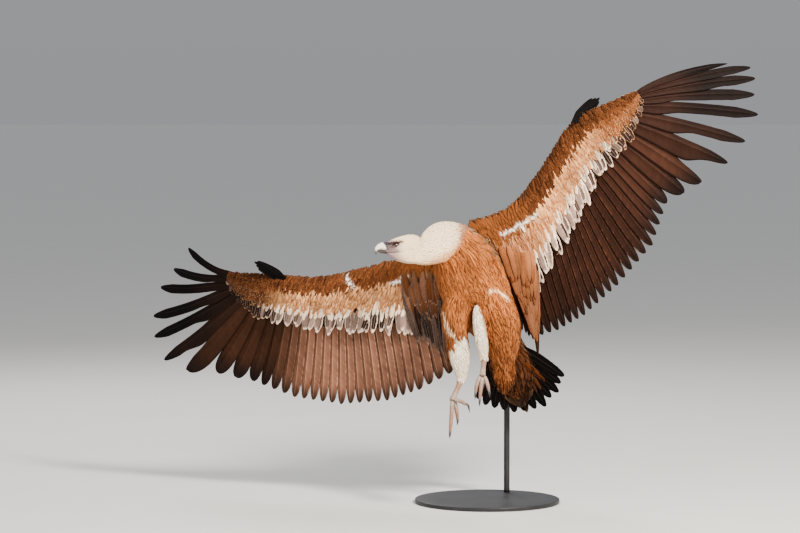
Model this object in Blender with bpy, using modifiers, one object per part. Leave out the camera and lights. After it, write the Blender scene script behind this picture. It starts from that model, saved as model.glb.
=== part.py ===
"""A griffon vulture coming in to land, life size, held by one rod on a round flat base.

Units are metres and +Z is up. The origin is the middle of the base's underside. The bird
banks to its right with its belly towards -Y, its head turned to -X and its legs lowered.
Places on the bird are given from the middle of its trunk.
"""
import math

import bmesh
import bpy
import numpy as np
from mathutils import Vector

# Driving sizes
TRUNK_CENTRE = np.array([-0.030, -0.080, 0.800])
BANK = math.radians(25)          # the spine leans this far over in the X-Z plane
LEAN = math.radians(17)          # the neck end comes this far towards -Y
TURN = math.radians(15)          # the belly is turned this far towards -X
GAP = 0.0005                     # how far a cutter stands off the piece that it copies
VANE_THICKNESS = 0.0018
SECONDARY_COUNT = 21
PRIMARY_COUNT = 10
RECTRIX_COUNT = 12
SECONDARY_SPLIT = 0.93
ARM_RINGS = 19
ELBOW_RING = 6
WRIST_RING = 12
ARM_PARTING = 0.0008             # the gap between arm pieces, as a share of the wing's rows
ARM_BACK_SHARE = 0.60            # how much of an arm's thickness lies on its upper side
ARM_EDGE = 0.0022                # half the thickness left at an arm's trailing edge
HAND_SHARE = 0.4                 # the share of the quill roots' line that lies on the hand
VANE_SHARE = 0.93                # how much of the room beside a shaft its vane fills
FINGER_TAPER = 2.6               # a larger value keeps a finger wide for more of its length
SECONDARY_HALF_WIDTH = 0.014

BASE_RADIUS = 0.27
BASE_THICKNESS = 0.014
ROD_RADIUS = 0.011
PAD_RADIUS = 0.024
PAD_LENGTH = 0.050
ROD_FOOT = (0.080, 0.190)        # where the rod meets the base
ROD_BEND_DROP = 0.200            # the rod leaves the upright this far below its top
REST_GAP = 0.0003                # between touching pieces of the stand

# The spine's axes: ahead to the neck, right to the bird's right wing, back away from the belly
AHEAD = np.array([-math.sin(BANK) * math.cos(LEAN), -math.sin(LEAN),
                  math.cos(BANK) * math.cos(LEAN)])
LEVEL_RIGHT = np.array([-math.cos(BANK), 0.0, -math.sin(BANK)])
LEVEL_BACK = np.cross(LEVEL_RIGHT, AHEAD)
RIGHT = LEVEL_RIGHT * math.cos(TURN) + LEVEL_BACK * math.sin(TURN)
BACK = LEVEL_BACK * math.cos(TURN) - LEVEL_RIGHT * math.sin(TURN)

# Stations along the spine: distance ahead, shift to the right, half width, back, belly
TRUNK_STATIONS = [
    (0.250, 0.020, 0.030, 0.020, 0.020),
    (0.225, 0.015, 0.080, 0.050, 0.055),
    (0.165, 0.008, 0.112, 0.078, 0.095),
    (0.080, 0.010, 0.128, 0.088, 0.120),
    (0.000, 0.012, 0.132, 0.088, 0.125),
    (-0.080, 0.004, 0.120, 0.082, 0.108),
    (-0.150, 0.000, 0.098, 0.072, 0.080),
    (-0.210, 0.000, 0.072, 0.055, 0.055),
    (-0.250, 0.000, 0.030, 0.025, 0.025),
]
TAIL_COVERT_STATIONS = [
    (-0.190, 0.000, 0.045, 0.030, 0.034),
    (-0.240, 0.006, 0.066, 0.030, 0.038),
    (-0.300, 0.012, 0.082, 0.020, 0.028),
    (-0.360, 0.018, 0.088, 0.012, 0.018),
    (-0.410, 0.024, 0.066, 0.006, 0.010),
    (-0.430, 0.026, 0.030, 0.003, 0.004),
]
TAIL_ROOT_AHEAD = -0.235
TAIL_LENGTH = 0.305              # from the fan's root to the tips of its middle feathers
TAIL_SWING = math.radians(4)     # the fan's middle is turned this far to the bird's right
TAIL_SPREAD = math.radians(86)

# Rows along the neck: x, y, z, half width across the view, half height
NECK_STATIONS = [
    (-0.245, -0.140, 0.148, 0.034, 0.046),
    (-0.205, -0.133, 0.150, 0.044, 0.054),
    (-0.172, -0.120, 0.166, 0.054, 0.068),
    (-0.140, -0.104, 0.184, 0.058, 0.073),
    (-0.105, -0.085, 0.190, 0.056, 0.066),
    (-0.065, -0.060, 0.185, 0.048, 0.056),
    (-0.030, -0.045, 0.165, 0.036, 0.044),
]

# The head looks along HEAD_AHEAD. Rows run from face to nape:
# distance ahead of the skull's middle, half width, height of the top, depth of the bottom
SKULL_MIDDLE = np.array([-0.272, -0.142, 0.158])
HEAD_AHEAD = np.array([-0.985, -0.150, -0.085])
HEAD_STATIONS = [
    (0.078, 0.009, 0.022, 0.008),
    (0.070, 0.016, 0.031, 0.016),
    (0.055, 0.023, 0.038, 0.030),
    (0.034, 0.031, 0.045, 0.042),
    (0.008, 0.037, 0.050, 0.051),
    (-0.018, 0.041, 0.052, 0.056),
    (-0.042, 0.040, 0.046, 0.056),
    (-0.058, 0.028, 0.030, 0.040),
]
EYE_RADIUS = 0.0095
EYE_PLACE = (0.040, 0.0225, 0.020)   # ahead, to either side and up from the skull's middle

# Rows from the face to the hooked tip: ahead, up, half width, half height
UPPER_BILL_STATIONS = [
    (0.060, 0.017, 0.0125, 0.0150),
    (0.074, 0.018, 0.0122, 0.0150),
    (0.088, 0.018, 0.0110, 0.0140),
    (0.101, 0.015, 0.0090, 0.0120),
    (0.110, 0.009, 0.0060, 0.0080),
    (0.1135, -0.001, 0.0034, 0.0045),
    (0.1130, -0.009, 0.0010, 0.0013),
]
LOWER_BILL_STATIONS = [
    (0.054, -0.006, 0.0100, 0.0080),
    (0.074, -0.0045, 0.0095, 0.0065),
    (0.090, -0.0040, 0.0075, 0.0050),
    (0.101, -0.0045, 0.0030, 0.0022),
]

# Rows down each leg: x, y, z, half width in X, half depth in Y
LEFT_THIGH_STATIONS = [
    (0.020, -0.045, 0.012, 0.030, 0.040),
    (0.036, -0.066, -0.025, 0.062, 0.062),
    (0.050, -0.078, -0.075, 0.082, 0.072),
    (0.070, -0.080, -0.140, 0.080, 0.066),
    (0.082, -0.078, -0.210, 0.062, 0.050),
    (0.086, -0.070, -0.270, 0.036, 0.030),
    (0.086, -0.062, -0.312, 0.009, 0.008),
]
LEFT_SHANK_STATIONS = [
    (-0.016, -0.120, -0.050, 0.012, 0.018),
    (-0.010, -0.142, -0.095, 0.021, 0.025),
    (-0.002, -0.156, -0.150, 0.024, 0.026),
    (0.006, -0.165, -0.205, 0.021, 0.022),
    (0.011, -0.170, -0.246, 0.013, 0.014),
]
RIGHT_THIGH_STATIONS = [
    (-0.075, -0.050, -0.010, 0.040, 0.045),
    (-0.084, -0.066, -0.060, 0.058, 0.060),
    (-0.090, -0.082, -0.115, 0.056, 0.060),
    (-0.092, -0.096, -0.165, 0.040, 0.045),
    (-0.090, -0.104, -0.195, 0.016, 0.018),
]
RIGHT_SHANK_STATIONS = [
    (-0.094, -0.108, -0.110, 0.028, 0.028),
    (-0.086, -0.124, -0.180, 0.038, 0.036),
    (-0.078, -0.138, -0.240, 0.037, 0.034),
    (-0.071, -0.146, -0.288, 0.026, 0.024),
    (-0.069, -0.150, -0.326, 0.014, 0.014),
]

# Feet: rows down the bare shin, then each toe's joints and its claw's tip
RIGHT_FOOT = {
    "shin": [(-0.070, -0.149, -0.318, 0.0120), (-0.086, -0.176, -0.348, 0.0090),
             (-0.101, -0.206, -0.378, 0.0105), (-0.105, -0.214, -0.390, 0.0125)],
    "toes": {
        "inner": [(-0.098, -0.216, -0.386), (-0.074, -0.226, -0.392), (-0.056, -0.232, -0.402),
                  (-0.043, -0.228, -0.434)],
        "middle": [(-0.106, -0.220, -0.392), (-0.110, -0.240, -0.450), (-0.114, -0.242, -0.500),
                   (-0.116, -0.232, -0.527)],
        "outer": [(-0.099, -0.210, -0.392), (-0.090, -0.212, -0.425), (-0.087, -0.208, -0.456),
                  (-0.088, -0.198, -0.482)],
        "hind": [(-0.104, -0.206, -0.388), (-0.100, -0.180, -0.402), (-0.096, -0.160, -0.418),
                 (-0.094, -0.156, -0.444)],
    },
}
LEFT_FOOT = {
    "shin": [(0.011, -0.170, -0.240, 0.0120), (0.008, -0.198, -0.262, 0.0090),
             (0.004, -0.226, -0.288, 0.0105), (0.003, -0.234, -0.298, 0.0125)],
    "toes": {
        "inner": [(-0.006, -0.236, -0.300), (-0.018, -0.250, -0.330), (-0.022, -0.256, -0.356),
                  (-0.024, -0.250, -0.384)],
        "middle": [(0.002, -0.240, -0.304), (-0.004, -0.262, -0.345), (-0.007, -0.268, -0.378),
                   (-0.008, -0.260, -0.408)],
        "outer": [(0.011, -0.234, -0.300), (0.021, -0.244, -0.328), (0.026, -0.248, -0.350),
                  (0.029, -0.240, -0.378)],
        "hind": [(0.003, -0.226, -0.298), (0.006, -0.202, -0.312), (0.008, -0.184, -0.328),
                 (0.008, -0.180, -0.352)],
    },
}
TOE_RADIUS = 0.0075
CLAW_RADIUS = 0.0052

# Wing rows from the body out: leading edge x, y, z, trailing edge x, y, z, thickness.
# The trailing edge is where the long quills come out from under the coverts.
RIGHT_WING = {
    "stations": [
        (-0.095, 0.020, 0.120, -0.085, 0.060, -0.150, 0.060),
        (-0.200, 0.050, 0.128, -0.200, 0.072, -0.165, 0.058),
        (-0.330, 0.085, 0.107, -0.315, 0.095, -0.160, 0.052),
        (-0.498, 0.130, 0.063, -0.502, 0.145, -0.162, 0.046),
        (-0.610, 0.165, 0.042, -0.620, 0.185, -0.162, 0.042),
        (-0.722, 0.205, 0.046, -0.745, 0.230, -0.140, 0.038),
        (-0.819, 0.260, 0.050, -0.843, 0.290, -0.115, 0.032),
        (-0.893, 0.310, 0.047, -0.914, 0.340, -0.065, 0.024),
        (-0.948, 0.345, 0.050, -0.953, 0.365, -0.003, 0.014),
    ],
    # quill roots on the bones, from the outermost to the innermost
    "roots": [(-0.925, 0.330, 0.042), (-0.840, 0.275, 0.014), (-0.735, 0.215, 0.005),
              (-0.560, 0.160, -0.030), (-0.400, 0.115, -0.040), (-0.190, 0.070, -0.050)],
    # quill tips: the quill's number from the outermost, x, y, z
    "tips": [(0, -1.121, 0.600, 0.129), (1, -1.182, 0.650, 0.045), (2, -1.236, 0.680, -0.028),
             (3, -1.265, 0.680, -0.142), (4, -1.261, 0.660, -0.222), (5, -1.219, 0.610, -0.310),
             (6, -1.128, 0.540, -0.342), (7, -1.006, 0.480, -0.345), (9, -0.863, 0.385, -0.372),
             (13, -0.700, 0.310, -0.428), (18, -0.520, 0.235, -0.448), (23, -0.345, 0.165, -0.428),
             (27, -0.225, 0.110, -0.382), (30, -0.112, 0.075, -0.318)],
    "outer_bow": (0.000, -0.050, -0.045), "inner_bow": (0.000, 0.020, 0.000),
    # how far out along the quills each gap between two fingers opens
    "splits": [0.3, 0.3, 0.3, 0.4, 0.5, 0.7, 0.9, 0.9, 0.9],
    "alula": [(-0.752, 0.205, 0.040), (-0.848, 0.235, 0.088)],
}
LEFT_WING = {
    "stations": [
        (-0.024, -0.004, 0.262, 0.070, 0.000, 0.020, 0.060),
        (0.090, -0.050, 0.306, 0.170, -0.010, -0.030, 0.058),
        (0.180, -0.090, 0.402, 0.262, -0.045, 0.085, 0.054),
        (0.244, -0.120, 0.501, 0.334, -0.085, 0.225, 0.048),
        (0.308, -0.160, 0.603, 0.390, -0.130, 0.330, 0.042),
        (0.360, -0.188, 0.652, 0.449, -0.165, 0.440, 0.038),
        (0.443, -0.200, 0.688, 0.524, -0.185, 0.531, 0.032),
        (0.519, -0.202, 0.721, 0.576, -0.190, 0.640, 0.024),
        (0.555, -0.200, 0.733, 0.582, -0.193, 0.700, 0.014),
    ],
    "roots": [(0.545, -0.200, 0.715), (0.465, -0.196, 0.670), (0.375, -0.180, 0.600),
              (0.310, -0.130, 0.470), (0.245, -0.085, 0.350), (0.110, -0.030, 0.150)],
    "tips": [(0, 0.902, -0.090, 0.835), (1, 0.986, -0.090, 0.821), (2, 1.003, -0.095, 0.781),
             (3, 1.000, -0.100, 0.722), (4, 1.013, -0.105, 0.649), (5, 0.966, -0.110, 0.551),
             (6, 0.902, -0.115, 0.472), (7, 0.807, -0.115, 0.403), (9, 0.680, -0.110, 0.325),
             (13, 0.630, -0.095, 0.170), (18, 0.505, -0.065, 0.020), (23, 0.385, -0.035, -0.092),
             (27, 0.290, 0.005, -0.150), (30, 0.206, 0.035, -0.178)],
    "outer_bow": (-0.035, -0.030, 0.035), "inner_bow": (0.000, 0.010, 0.010),
    "splits": [0.9, 0.9, 0.8, 0.4, 0.5, 0.7, 0.9, 0.9, 0.9],
    "alula": [(0.352, -0.190, 0.640), (0.424, -0.178, 0.712)],
}
FINGER_HALF_WIDTH = 0.023


def clear_scene():
    for thing in list(bpy.data.objects):
        bpy.data.objects.remove(thing, do_unlink=True)


def make_collection(name):
    group = bpy.data.collections.new(name)
    bpy.context.scene.collection.children.link(group)
    return group


def move_to(piece, group):
    for owner in list(piece.users_collection):
        owner.objects.unlink(piece)
    group.objects.link(piece)


def make_material(name, colour, roughness, metallic=0.0):
    material = bpy.data.materials.new(name)
    material.use_nodes = True
    shader = material.node_tree.nodes["Principled BSDF"]
    shader.inputs["Base Color"].default_value = (*colour, 1.0)
    shader.inputs["Roughness"].default_value = roughness
    shader.inputs["Metallic"].default_value = metallic
    return material


def unit(vector):
    return np.asarray(vector, float) / np.linalg.norm(vector)


def smooth_rows(rows, places):
    """Rows read at places from 0 to 1 on a smooth curve through them (Catmull-Rom)."""
    rows = np.asarray(rows, float)
    spot = np.clip(np.asarray(places, float), 0.0, 1.0) * (len(rows) - 1)
    first = np.minimum(spot.astype(int), len(rows) - 2)
    part = (spot - first)[:, None]
    slopes = np.gradient(rows, axis=0)
    start, end = rows[first], rows[first + 1]
    leave, arrive = slopes[first], slopes[first + 1]
    return ((2 * part**3 - 3 * part**2 + 1) * start + (part**3 - 2 * part**2 + part) * leave
            + (3 * part**2 - 2 * part**3) * end + (part**3 - part**2) * arrive)


def add_piece(name, points, faces, material, group):
    """One object from points about the trunk's middle, with its faces turned outwards."""
    mesh = bpy.data.meshes.new(name)
    mesh.from_pydata([tuple(point) for point in points], [], faces)
    shape = bmesh.new()
    shape.from_mesh(mesh)
    bmesh.ops.recalc_face_normals(shape, faces=shape.faces)
    shape.to_mesh(mesh)
    shape.free()
    mesh.materials.append(material)
    mesh.shade_smooth()
    piece = bpy.data.objects.new(name, mesh)
    group.objects.link(piece)
    piece.location = TRUNK_CENTRE
    return piece


def loft(name, rings, material, group):
    """A closed body through rings of points, with a flat cap at each end."""
    ring_count, around = rings.shape[:2]
    faces = [list(range(around)), list(range((ring_count - 1) * around, ring_count * around))]
    for ring in range(ring_count - 1):
        for side in range(around):
            after = (side + 1) % around
            low, high = ring * around, (ring + 1) * around
            faces.append([low + side, low + after, high + after, high + side])
    return add_piece(name, rings.reshape(-1, 3), faces, material, group)


def oval(middle, across, upward, half_width, rise, drop, around):
    """A ring whose upper and lower halves may have different heights."""
    angles = (np.arange(around) + 0.5) * 2 * math.pi / around
    heights = np.where(np.sin(angles) > 0, rise, drop) * np.sin(angles)
    return middle + np.outer(np.cos(angles) * half_width, across) + np.outer(heights, upward)


def spine_body(name, stations, ring_count, around, material, group):
    """A body along the spine from rows of ahead, right, half width, back and belly."""
    rows = smooth_rows(stations, np.linspace(0, 1, ring_count))
    rings = [oval(AHEAD * ahead + RIGHT * shift, RIGHT, BACK, half, back, belly, around)
             for ahead, shift, half, back, belly in rows]
    return loft(name, np.array(rings), material, group)


def limb(name, stations, ring_count, around, material, group):
    """A tapered body along rows of x, y, z, half width and half depth."""
    rows = smooth_rows(stations, np.linspace(0, 1, ring_count))
    along = np.gradient(rows[:, :3], axis=0)
    rings = []
    for row, direction in zip(rows, along):
        forward = unit(np.cross(direction, (1.0, 0.0, 0.0)))
        across = unit(np.cross(forward, direction))
        rings.append(oval(row[:3], across, forward, row[3], row[4], row[4], around))
    return loft(name, np.array(rings), material, group)


def neck_body(name, stations, ring_count, around, material, group):
    """The neck runs mostly along X, so its rings stand up in Z."""
    rows = smooth_rows(stations, np.linspace(0, 1, ring_count))
    along = np.gradient(rows[:, :3], axis=0)
    rings = []
    for row, direction in zip(rows, along):
        across = unit(np.cross((0.0, 0.0, 1.0), direction))
        upward = unit(np.cross(direction, across))
        rings.append(oval(row[:3], across, upward, row[3], row[4], row[4], around))
    return loft(name, np.array(rings), material, group)


def head_axes():
    ahead = unit(HEAD_AHEAD)
    side = unit(np.cross((0.0, 0.0, 1.0), ahead))      # the bird's left, towards -Y
    return ahead, side, np.cross(ahead, side)


def head_body(name, material, group):
    ahead, side, upward = head_axes()
    rows = smooth_rows(HEAD_STATIONS, np.linspace(0, 1, 11))
    rings = [oval(SKULL_MIDDLE + ahead * reach, side, upward, half, top, bottom, 16)
             for reach, half, top, bottom in rows]
    return loft(name, np.array(rings), material, group)


def bill_half(name, stations, ring_count, material, group):
    """Half of the bill, its rings square to its own curved line."""
    ahead, side, upward = head_axes()
    rows = smooth_rows(stations, np.linspace(0, 1, ring_count))
    slopes = np.gradient(rows[:, :2], axis=0)
    rings = []
    for (reach, height, half, tall), (run, rise) in zip(rows, slopes):
        square = unit(upward * run - ahead * rise)
        rings.append(oval(SKULL_MIDDLE + ahead * reach + upward * height, side, square,
                          half, tall, tall, 10))
    return loft(name, np.array(rings), material, group)


def eyeball(name, to_left, material, group):
    ahead, side, upward = head_axes()
    reach, apart, height = EYE_PLACE
    middle = SKULL_MIDDLE + ahead * reach + side * apart * to_left + upward * height
    bpy.ops.mesh.primitive_uv_sphere_add(segments=10, ring_count=6, radius=EYE_RADIUS,
                                         location=TRUNK_CENTRE + middle)
    eye = bpy.context.object
    eye.name = name
    eye.data.materials.append(material)
    eye.data.shade_smooth()
    move_to(eye, group)
    return eye


def tapered_tube(name, joints, radii, ring_count, around, material, group):
    rows = np.column_stack([joints, radii, radii])
    return limb(name, rows, ring_count, around, material, group)


def foot(side, plan, shank, horn, skin, group, cutters):
    """The bare shin, four toes and four claws, each cut back by the piece that carries it."""
    shin_rows = np.array([(*row, row[3]) for row in plan["shin"]])
    shin = limb(f"shin_{side}", shin_rows, 6, 8, skin, group)
    cut(shin, shank, cutters)
    toes = []
    for toe_name, joints in plan["toes"].items():
        *toe_joints, claw_tip = np.array(joints)
        radii = TOE_RADIUS * np.array([1.0, 0.92, 0.74])
        toe = tapered_tube(f"toe_{side}_{toe_name}", toe_joints, radii, 5, 6, skin, group)
        for neighbour in (shin, *toes):
            cut(toe, neighbour, cutters)
        toes.append(toe)
        last, before = toe_joints[-1], toe_joints[-2]
        start = last - unit(last - before) * 0.006
        elbow = last + unit(last - before) * 0.009
        claw_radii = CLAW_RADIUS * np.array([1.0, 0.8, 0.08])
        claw = tapered_tube(f"claw_{side}_{toe_name}", [start, elbow, claw_tip], claw_radii,
                            5, 6, horn, group)
        cut(claw, toe, cutters)


def wing_rings(wing, places, around=14):
    """Wing-shaped rings: each is thickest near the leading edge and blunt behind."""
    rows = smooth_rows(wing["stations"], places)
    lead, trail, thickness = rows[:, :3], rows[:, 3:6], rows[:, 6]
    nudge = 0.002
    outward = sum(smooth_rows(wing["stations"], np.clip(places + nudge, 0, 1))[:, start:start + 3]
                  - smooth_rows(wing["stations"], np.clip(places - nudge, 0, 1))[:, start:start + 3]
                  for start in (0, 3))
    chord = trail - lead
    dorsal = np.cross(outward, chord)
    dorsal *= np.where(dorsal[:, 1] < 0, -1.0, 1.0)[:, None]
    dorsal /= np.linalg.norm(dorsal, axis=1)[:, None]
    angles = (np.arange(around) + 0.5) * 2 * math.pi / around
    part = (1 - np.cos(angles)) / 2
    shares = np.where(np.sin(angles) > 0, ARM_BACK_SHARE, 1 - ARM_BACK_SHARE)
    shape = np.sin(math.pi * part**0.55) * shares
    edge = ARM_EDGE * part
    height = np.sign(np.sin(angles)) * (np.outer(thickness, shape) + edge)
    return lead[:, None] + chord[:, None] * part[:, None] + dorsal[:, None] * height[:, :, None]


def vane_sheet(name, feathers, chosen, places, material, group):
    """Neighbouring feathers of a fan as one sheet.

    Each shaft is a curve from root to tip through its bow. Neighbours share the edge midway
    between their shafts as far out as the split, and past it each has an edge of its own, no
    further from the shaft than its half width and narrowing to a point.
    """
    roots, tips, bows = feathers["roots"], feathers["tips"], feathers["bows"]
    part = np.asarray(places)[None, :, None]
    controls = (roots + tips) / 2 + bows
    shafts = ((1 - part)**2 * roots[:, None] + 2 * part * (1 - part) * controls[:, None]
              + part**2 * tips[:, None])
    along = np.gradient(shafts, axis=1)
    along /= np.linalg.norm(along, axis=2)[..., None]
    points, index = [], {}

    def point(key, place):
        if key not in index:
            index[key] = len(points)
            points.append(place)
        return index[key]

    def edge(feather, row, side):
        """The feather's edge on the side of its next (1) or last (-1) neighbour."""
        other = feather + side
        alone = not 0 <= other < len(roots)
        other = feather - side if alone else other
        across = shafts[other, row] - shafts[feather, row]
        across -= along[feather, row] * (across @ along[feather, row])
        across *= -1 if alone else 1
        room = np.linalg.norm(across) / 2
        taper = min(1.0, FINGER_TAPER * math.sqrt(1.001 - places[row]))
        limit = feathers["half_widths"][feather] * taper
        joined = not alone and places[row] <= feathers["splits"][min(feather, other)]
        if joined and other in chosen:
            middle = (shafts[other, row] + shafts[feather, row]) / 2
            return point((min(feather, other), row), middle)
        reach = room * VANE_SHARE if joined else min(room * VANE_SHARE, limit)
        return point((feather, row, side), shafts[feather, row] + unit(across) * reach)

    faces = []
    last = len(places) - 1
    for feather in chosen:
        for row in range(last - 1):
            faces.append([edge(feather, row, -1), edge(feather, row, 1),
                          edge(feather, row + 1, 1), edge(feather, row + 1, -1)])
        faces.append([edge(feather, last - 1, -1), edge(feather, last - 1, 1),
                      point((feather, last, 0), tips[feather])])
    sheet = add_piece(name, points, faces, material, group)
    thicken = sheet.modifiers.new("thickness", "SOLIDIFY")
    thicken.thickness = VANE_THICKNESS
    thicken.offset = 0.0
    return sheet


def hide_guide(shape):
    shape.hide_render = True
    shape.display_type = "WIRE"


def cut(piece, other, cutters):
    """Cuts a slightly grown copy of another piece out of this one."""
    name = f"cutter_{other.name}"
    cutter = bpy.data.objects.get(name)
    if cutter is None:
        mesh = other.data.copy()
        shape = bmesh.new()
        shape.from_mesh(mesh)
        shape.normal_update()
        for vertex in shape.verts:
            vertex.co += vertex.normal * GAP
        shape.to_mesh(mesh)
        shape.free()
        cutter = bpy.data.objects.new(name, mesh)
        cutters.objects.link(cutter)
        cutter.matrix_world = other.matrix_basis
        hide_guide(cutter)
    away = piece.modifiers.new(f"clear of {other.name}", "BOOLEAN")
    away.operation = "DIFFERENCE"
    away.solver = "EXACT"
    away.object = cutter


def build_wing(side, wing, materials, group, cutters):
    """Three arm pieces, the primaries, the secondaries and the alula of one wing."""
    ring_places = np.linspace(0, 1, ARM_RINGS)
    arm_guide = loft(f"arm_guide_{side}", wing_rings(wing, ring_places), materials["wing"],
                     cutters)
    hide_guide(arm_guide)
    arm_pieces = []
    for part_name, first, last in (("upper_arm", 0, ELBOW_RING),
                                   ("forearm", ELBOW_RING, WRIST_RING),
                                   ("hand", WRIST_RING, ARM_RINGS - 1)):
        places = ring_places[first:last + 1].copy()
        places[0] += ARM_PARTING if first else 0
        arm_pieces.append(loft(f"wing_{side}_{part_name}", wing_rings(wing, places),
                               materials["wing"], group))

    total = PRIMARY_COUNT + SECONDARY_COUNT
    numbers = np.arange(total)
    spots = np.where(numbers < PRIMARY_COUNT, HAND_SHARE * numbers / (PRIMARY_COUNT - 0.5),
                     HAND_SHARE + (1 - HAND_SHARE) * (numbers - PRIMARY_COUNT + 0.5)
                     / (SECONDARY_COUNT - 0.5))
    keys = np.array(wing["tips"])
    tips = [np.interp(numbers, keys[:, 0], keys[:, axis]) for axis in (1, 2, 3)]
    fade = np.clip(1 - numbers / (PRIMARY_COUNT + 2.0), 0, 1)[:, None]
    finger_widths = FINGER_HALF_WIDTH * np.clip(0.68 + 0.12 * numbers[:PRIMARY_COUNT], 0, 1)
    feathers = {
        "roots": smooth_rows(wing["roots"], spots),
        "tips": np.column_stack(tips),
        "bows": np.array(wing["outer_bow"]) * fade + np.array(wing["inner_bow"]) * (1 - fade),
        "splits": wing["splits"] + [0.9] + [SECONDARY_SPLIT] * (SECONDARY_COUNT - 1),
        "half_widths": np.append(finger_widths, np.full(SECONDARY_COUNT, SECONDARY_HALF_WIDTH)),
    }
    primaries = vane_sheet(f"wing_{side}_primaries", feathers, range(PRIMARY_COUNT),
                           [0, 0.2, 0.3, 0.4, 0.5, 0.6, 0.7, 0.8, 0.9, 0.97, 1],
                           materials["quill"], group)
    secondaries = vane_sheet(f"wing_{side}_secondaries", feathers, range(PRIMARY_COUNT, total),
                             [0, 0.5, SECONDARY_SPLIT, 1], materials["quill"], group)

    root, tip = np.array(wing["alula"])
    spread = unit(np.cross(tip - root, BACK)) * 0.013
    offsets = np.array([[-1.0], [0.0], [1.0]]) * spread
    lengths = np.array([[0.82], [1.0], [0.88]])
    alula_feathers = {
        "roots": root + offsets, "tips": root + offsets + (tip - root) * lengths,
        "bows": offsets * 0.2, "splits": [0.75, 0.75], "half_widths": np.full(3, 0.011),
    }
    alula = vane_sheet(f"wing_{side}_alula", alula_feathers, range(3), [0, 0.4, 0.75, 1],
                       materials["quill"], group)
    for sheet in (primaries, secondaries, alula):
        cut(sheet, arm_guide, cutters)
    return arm_pieces


def build_tail(coverts, material, group, cutters):
    """The tail feathers, fanned about the end of the spine, the outer ones shorter."""
    sweep = np.linspace(-1, 1, RECTRIX_COUNT)
    angles = sweep * TAIL_SPREAD / 2 + TAIL_SWING
    ways = -np.outer(np.cos(angles), AHEAD) + np.outer(np.sin(angles), RIGHT)
    lengths = TAIL_LENGTH * (1 - 0.17 * sweep**2)
    middle = AHEAD * TAIL_ROOT_AHEAD
    feathers = {
        "roots": middle + ways * 0.045,
        "tips": middle + ways * lengths[:, None] - np.outer(sweep**2 * 0.012, BACK),
        "bows": np.zeros((RECTRIX_COUNT, 3)),
        "splits": [0.92] * (RECTRIX_COUNT - 1),
        "half_widths": np.full(RECTRIX_COUNT, 0.022),
    }
    fan = vane_sheet("tail_feathers", feathers, range(RECTRIX_COUNT), [0, 0.5, 0.92, 1],
                     material, group)
    cut(fan, coverts, cutters)


def build_stand(trunk, metal, group, cutters):
    """A round flat base and one rod that cranks forward to a pad under the lower back."""
    bpy.ops.mesh.primitive_cylinder_add(vertices=44, radius=BASE_RADIUS, depth=BASE_THICKNESS,
                                        location=(0, 0, BASE_THICKNESS / 2))
    base = bpy.context.object
    base.name = "stand_base"
    base.data.materials.append(metal)
    round_edge = base.modifiers.new("edge", "BEVEL")
    round_edge.width = 0.002
    round_edge.segments = 1
    round_edge.limit_method = "ANGLE"

    foot_place = Vector((*ROD_FOOT, BASE_THICKNESS + REST_GAP))
    pad_way = Vector(unit(BACK * 0.94 - np.array([0, 0, 0.34])))
    pad_inner = Vector(TRUNK_CENTRE - AHEAD * 0.060 + BACK * 0.060 - RIGHT * 0.045)
    pad_outer = pad_inner + pad_way * PAD_LENGTH
    bpy.ops.mesh.primitive_cylinder_add(vertices=24, radius=PAD_RADIUS, depth=PAD_LENGTH,
                                        location=(pad_inner + pad_outer) / 2,
                                        rotation=pad_way.to_track_quat("Z", "Y").to_euler())
    pad = bpy.context.object
    pad.name = "stand_pad"
    pad.data.materials.append(metal)
    cut(pad, trunk, cutters)

    line = bpy.data.curves.new("stand_rod", "CURVE")
    line.dimensions = "3D"
    line.bevel_depth = ROD_RADIUS
    line.bevel_resolution = 3
    line.resolution_u = 6
    line.use_fill_caps = True
    spline = line.splines.new("BEZIER")
    spline.bezier_points.add(2)
    top = pad_outer + pad_way * REST_GAP
    bend = Vector((foot_place.x, foot_place.y, top.z - ROD_BEND_DROP))
    places = (foot_place, bend, top)
    reach = (Vector((0, 0, 0.12)), Vector((0, 0, 0.10)), -pad_way * 0.070)
    for knot, place, handle in zip(spline.bezier_points, places, reach):
        knot.co = place
        knot.handle_left = place - handle
        knot.handle_right = place + handle
    line.materials.append(metal)
    rod = bpy.data.objects.new("stand_rod", line)
    group.objects.link(rod)
    move_to(base, group)
    move_to(pad, group)


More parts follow.
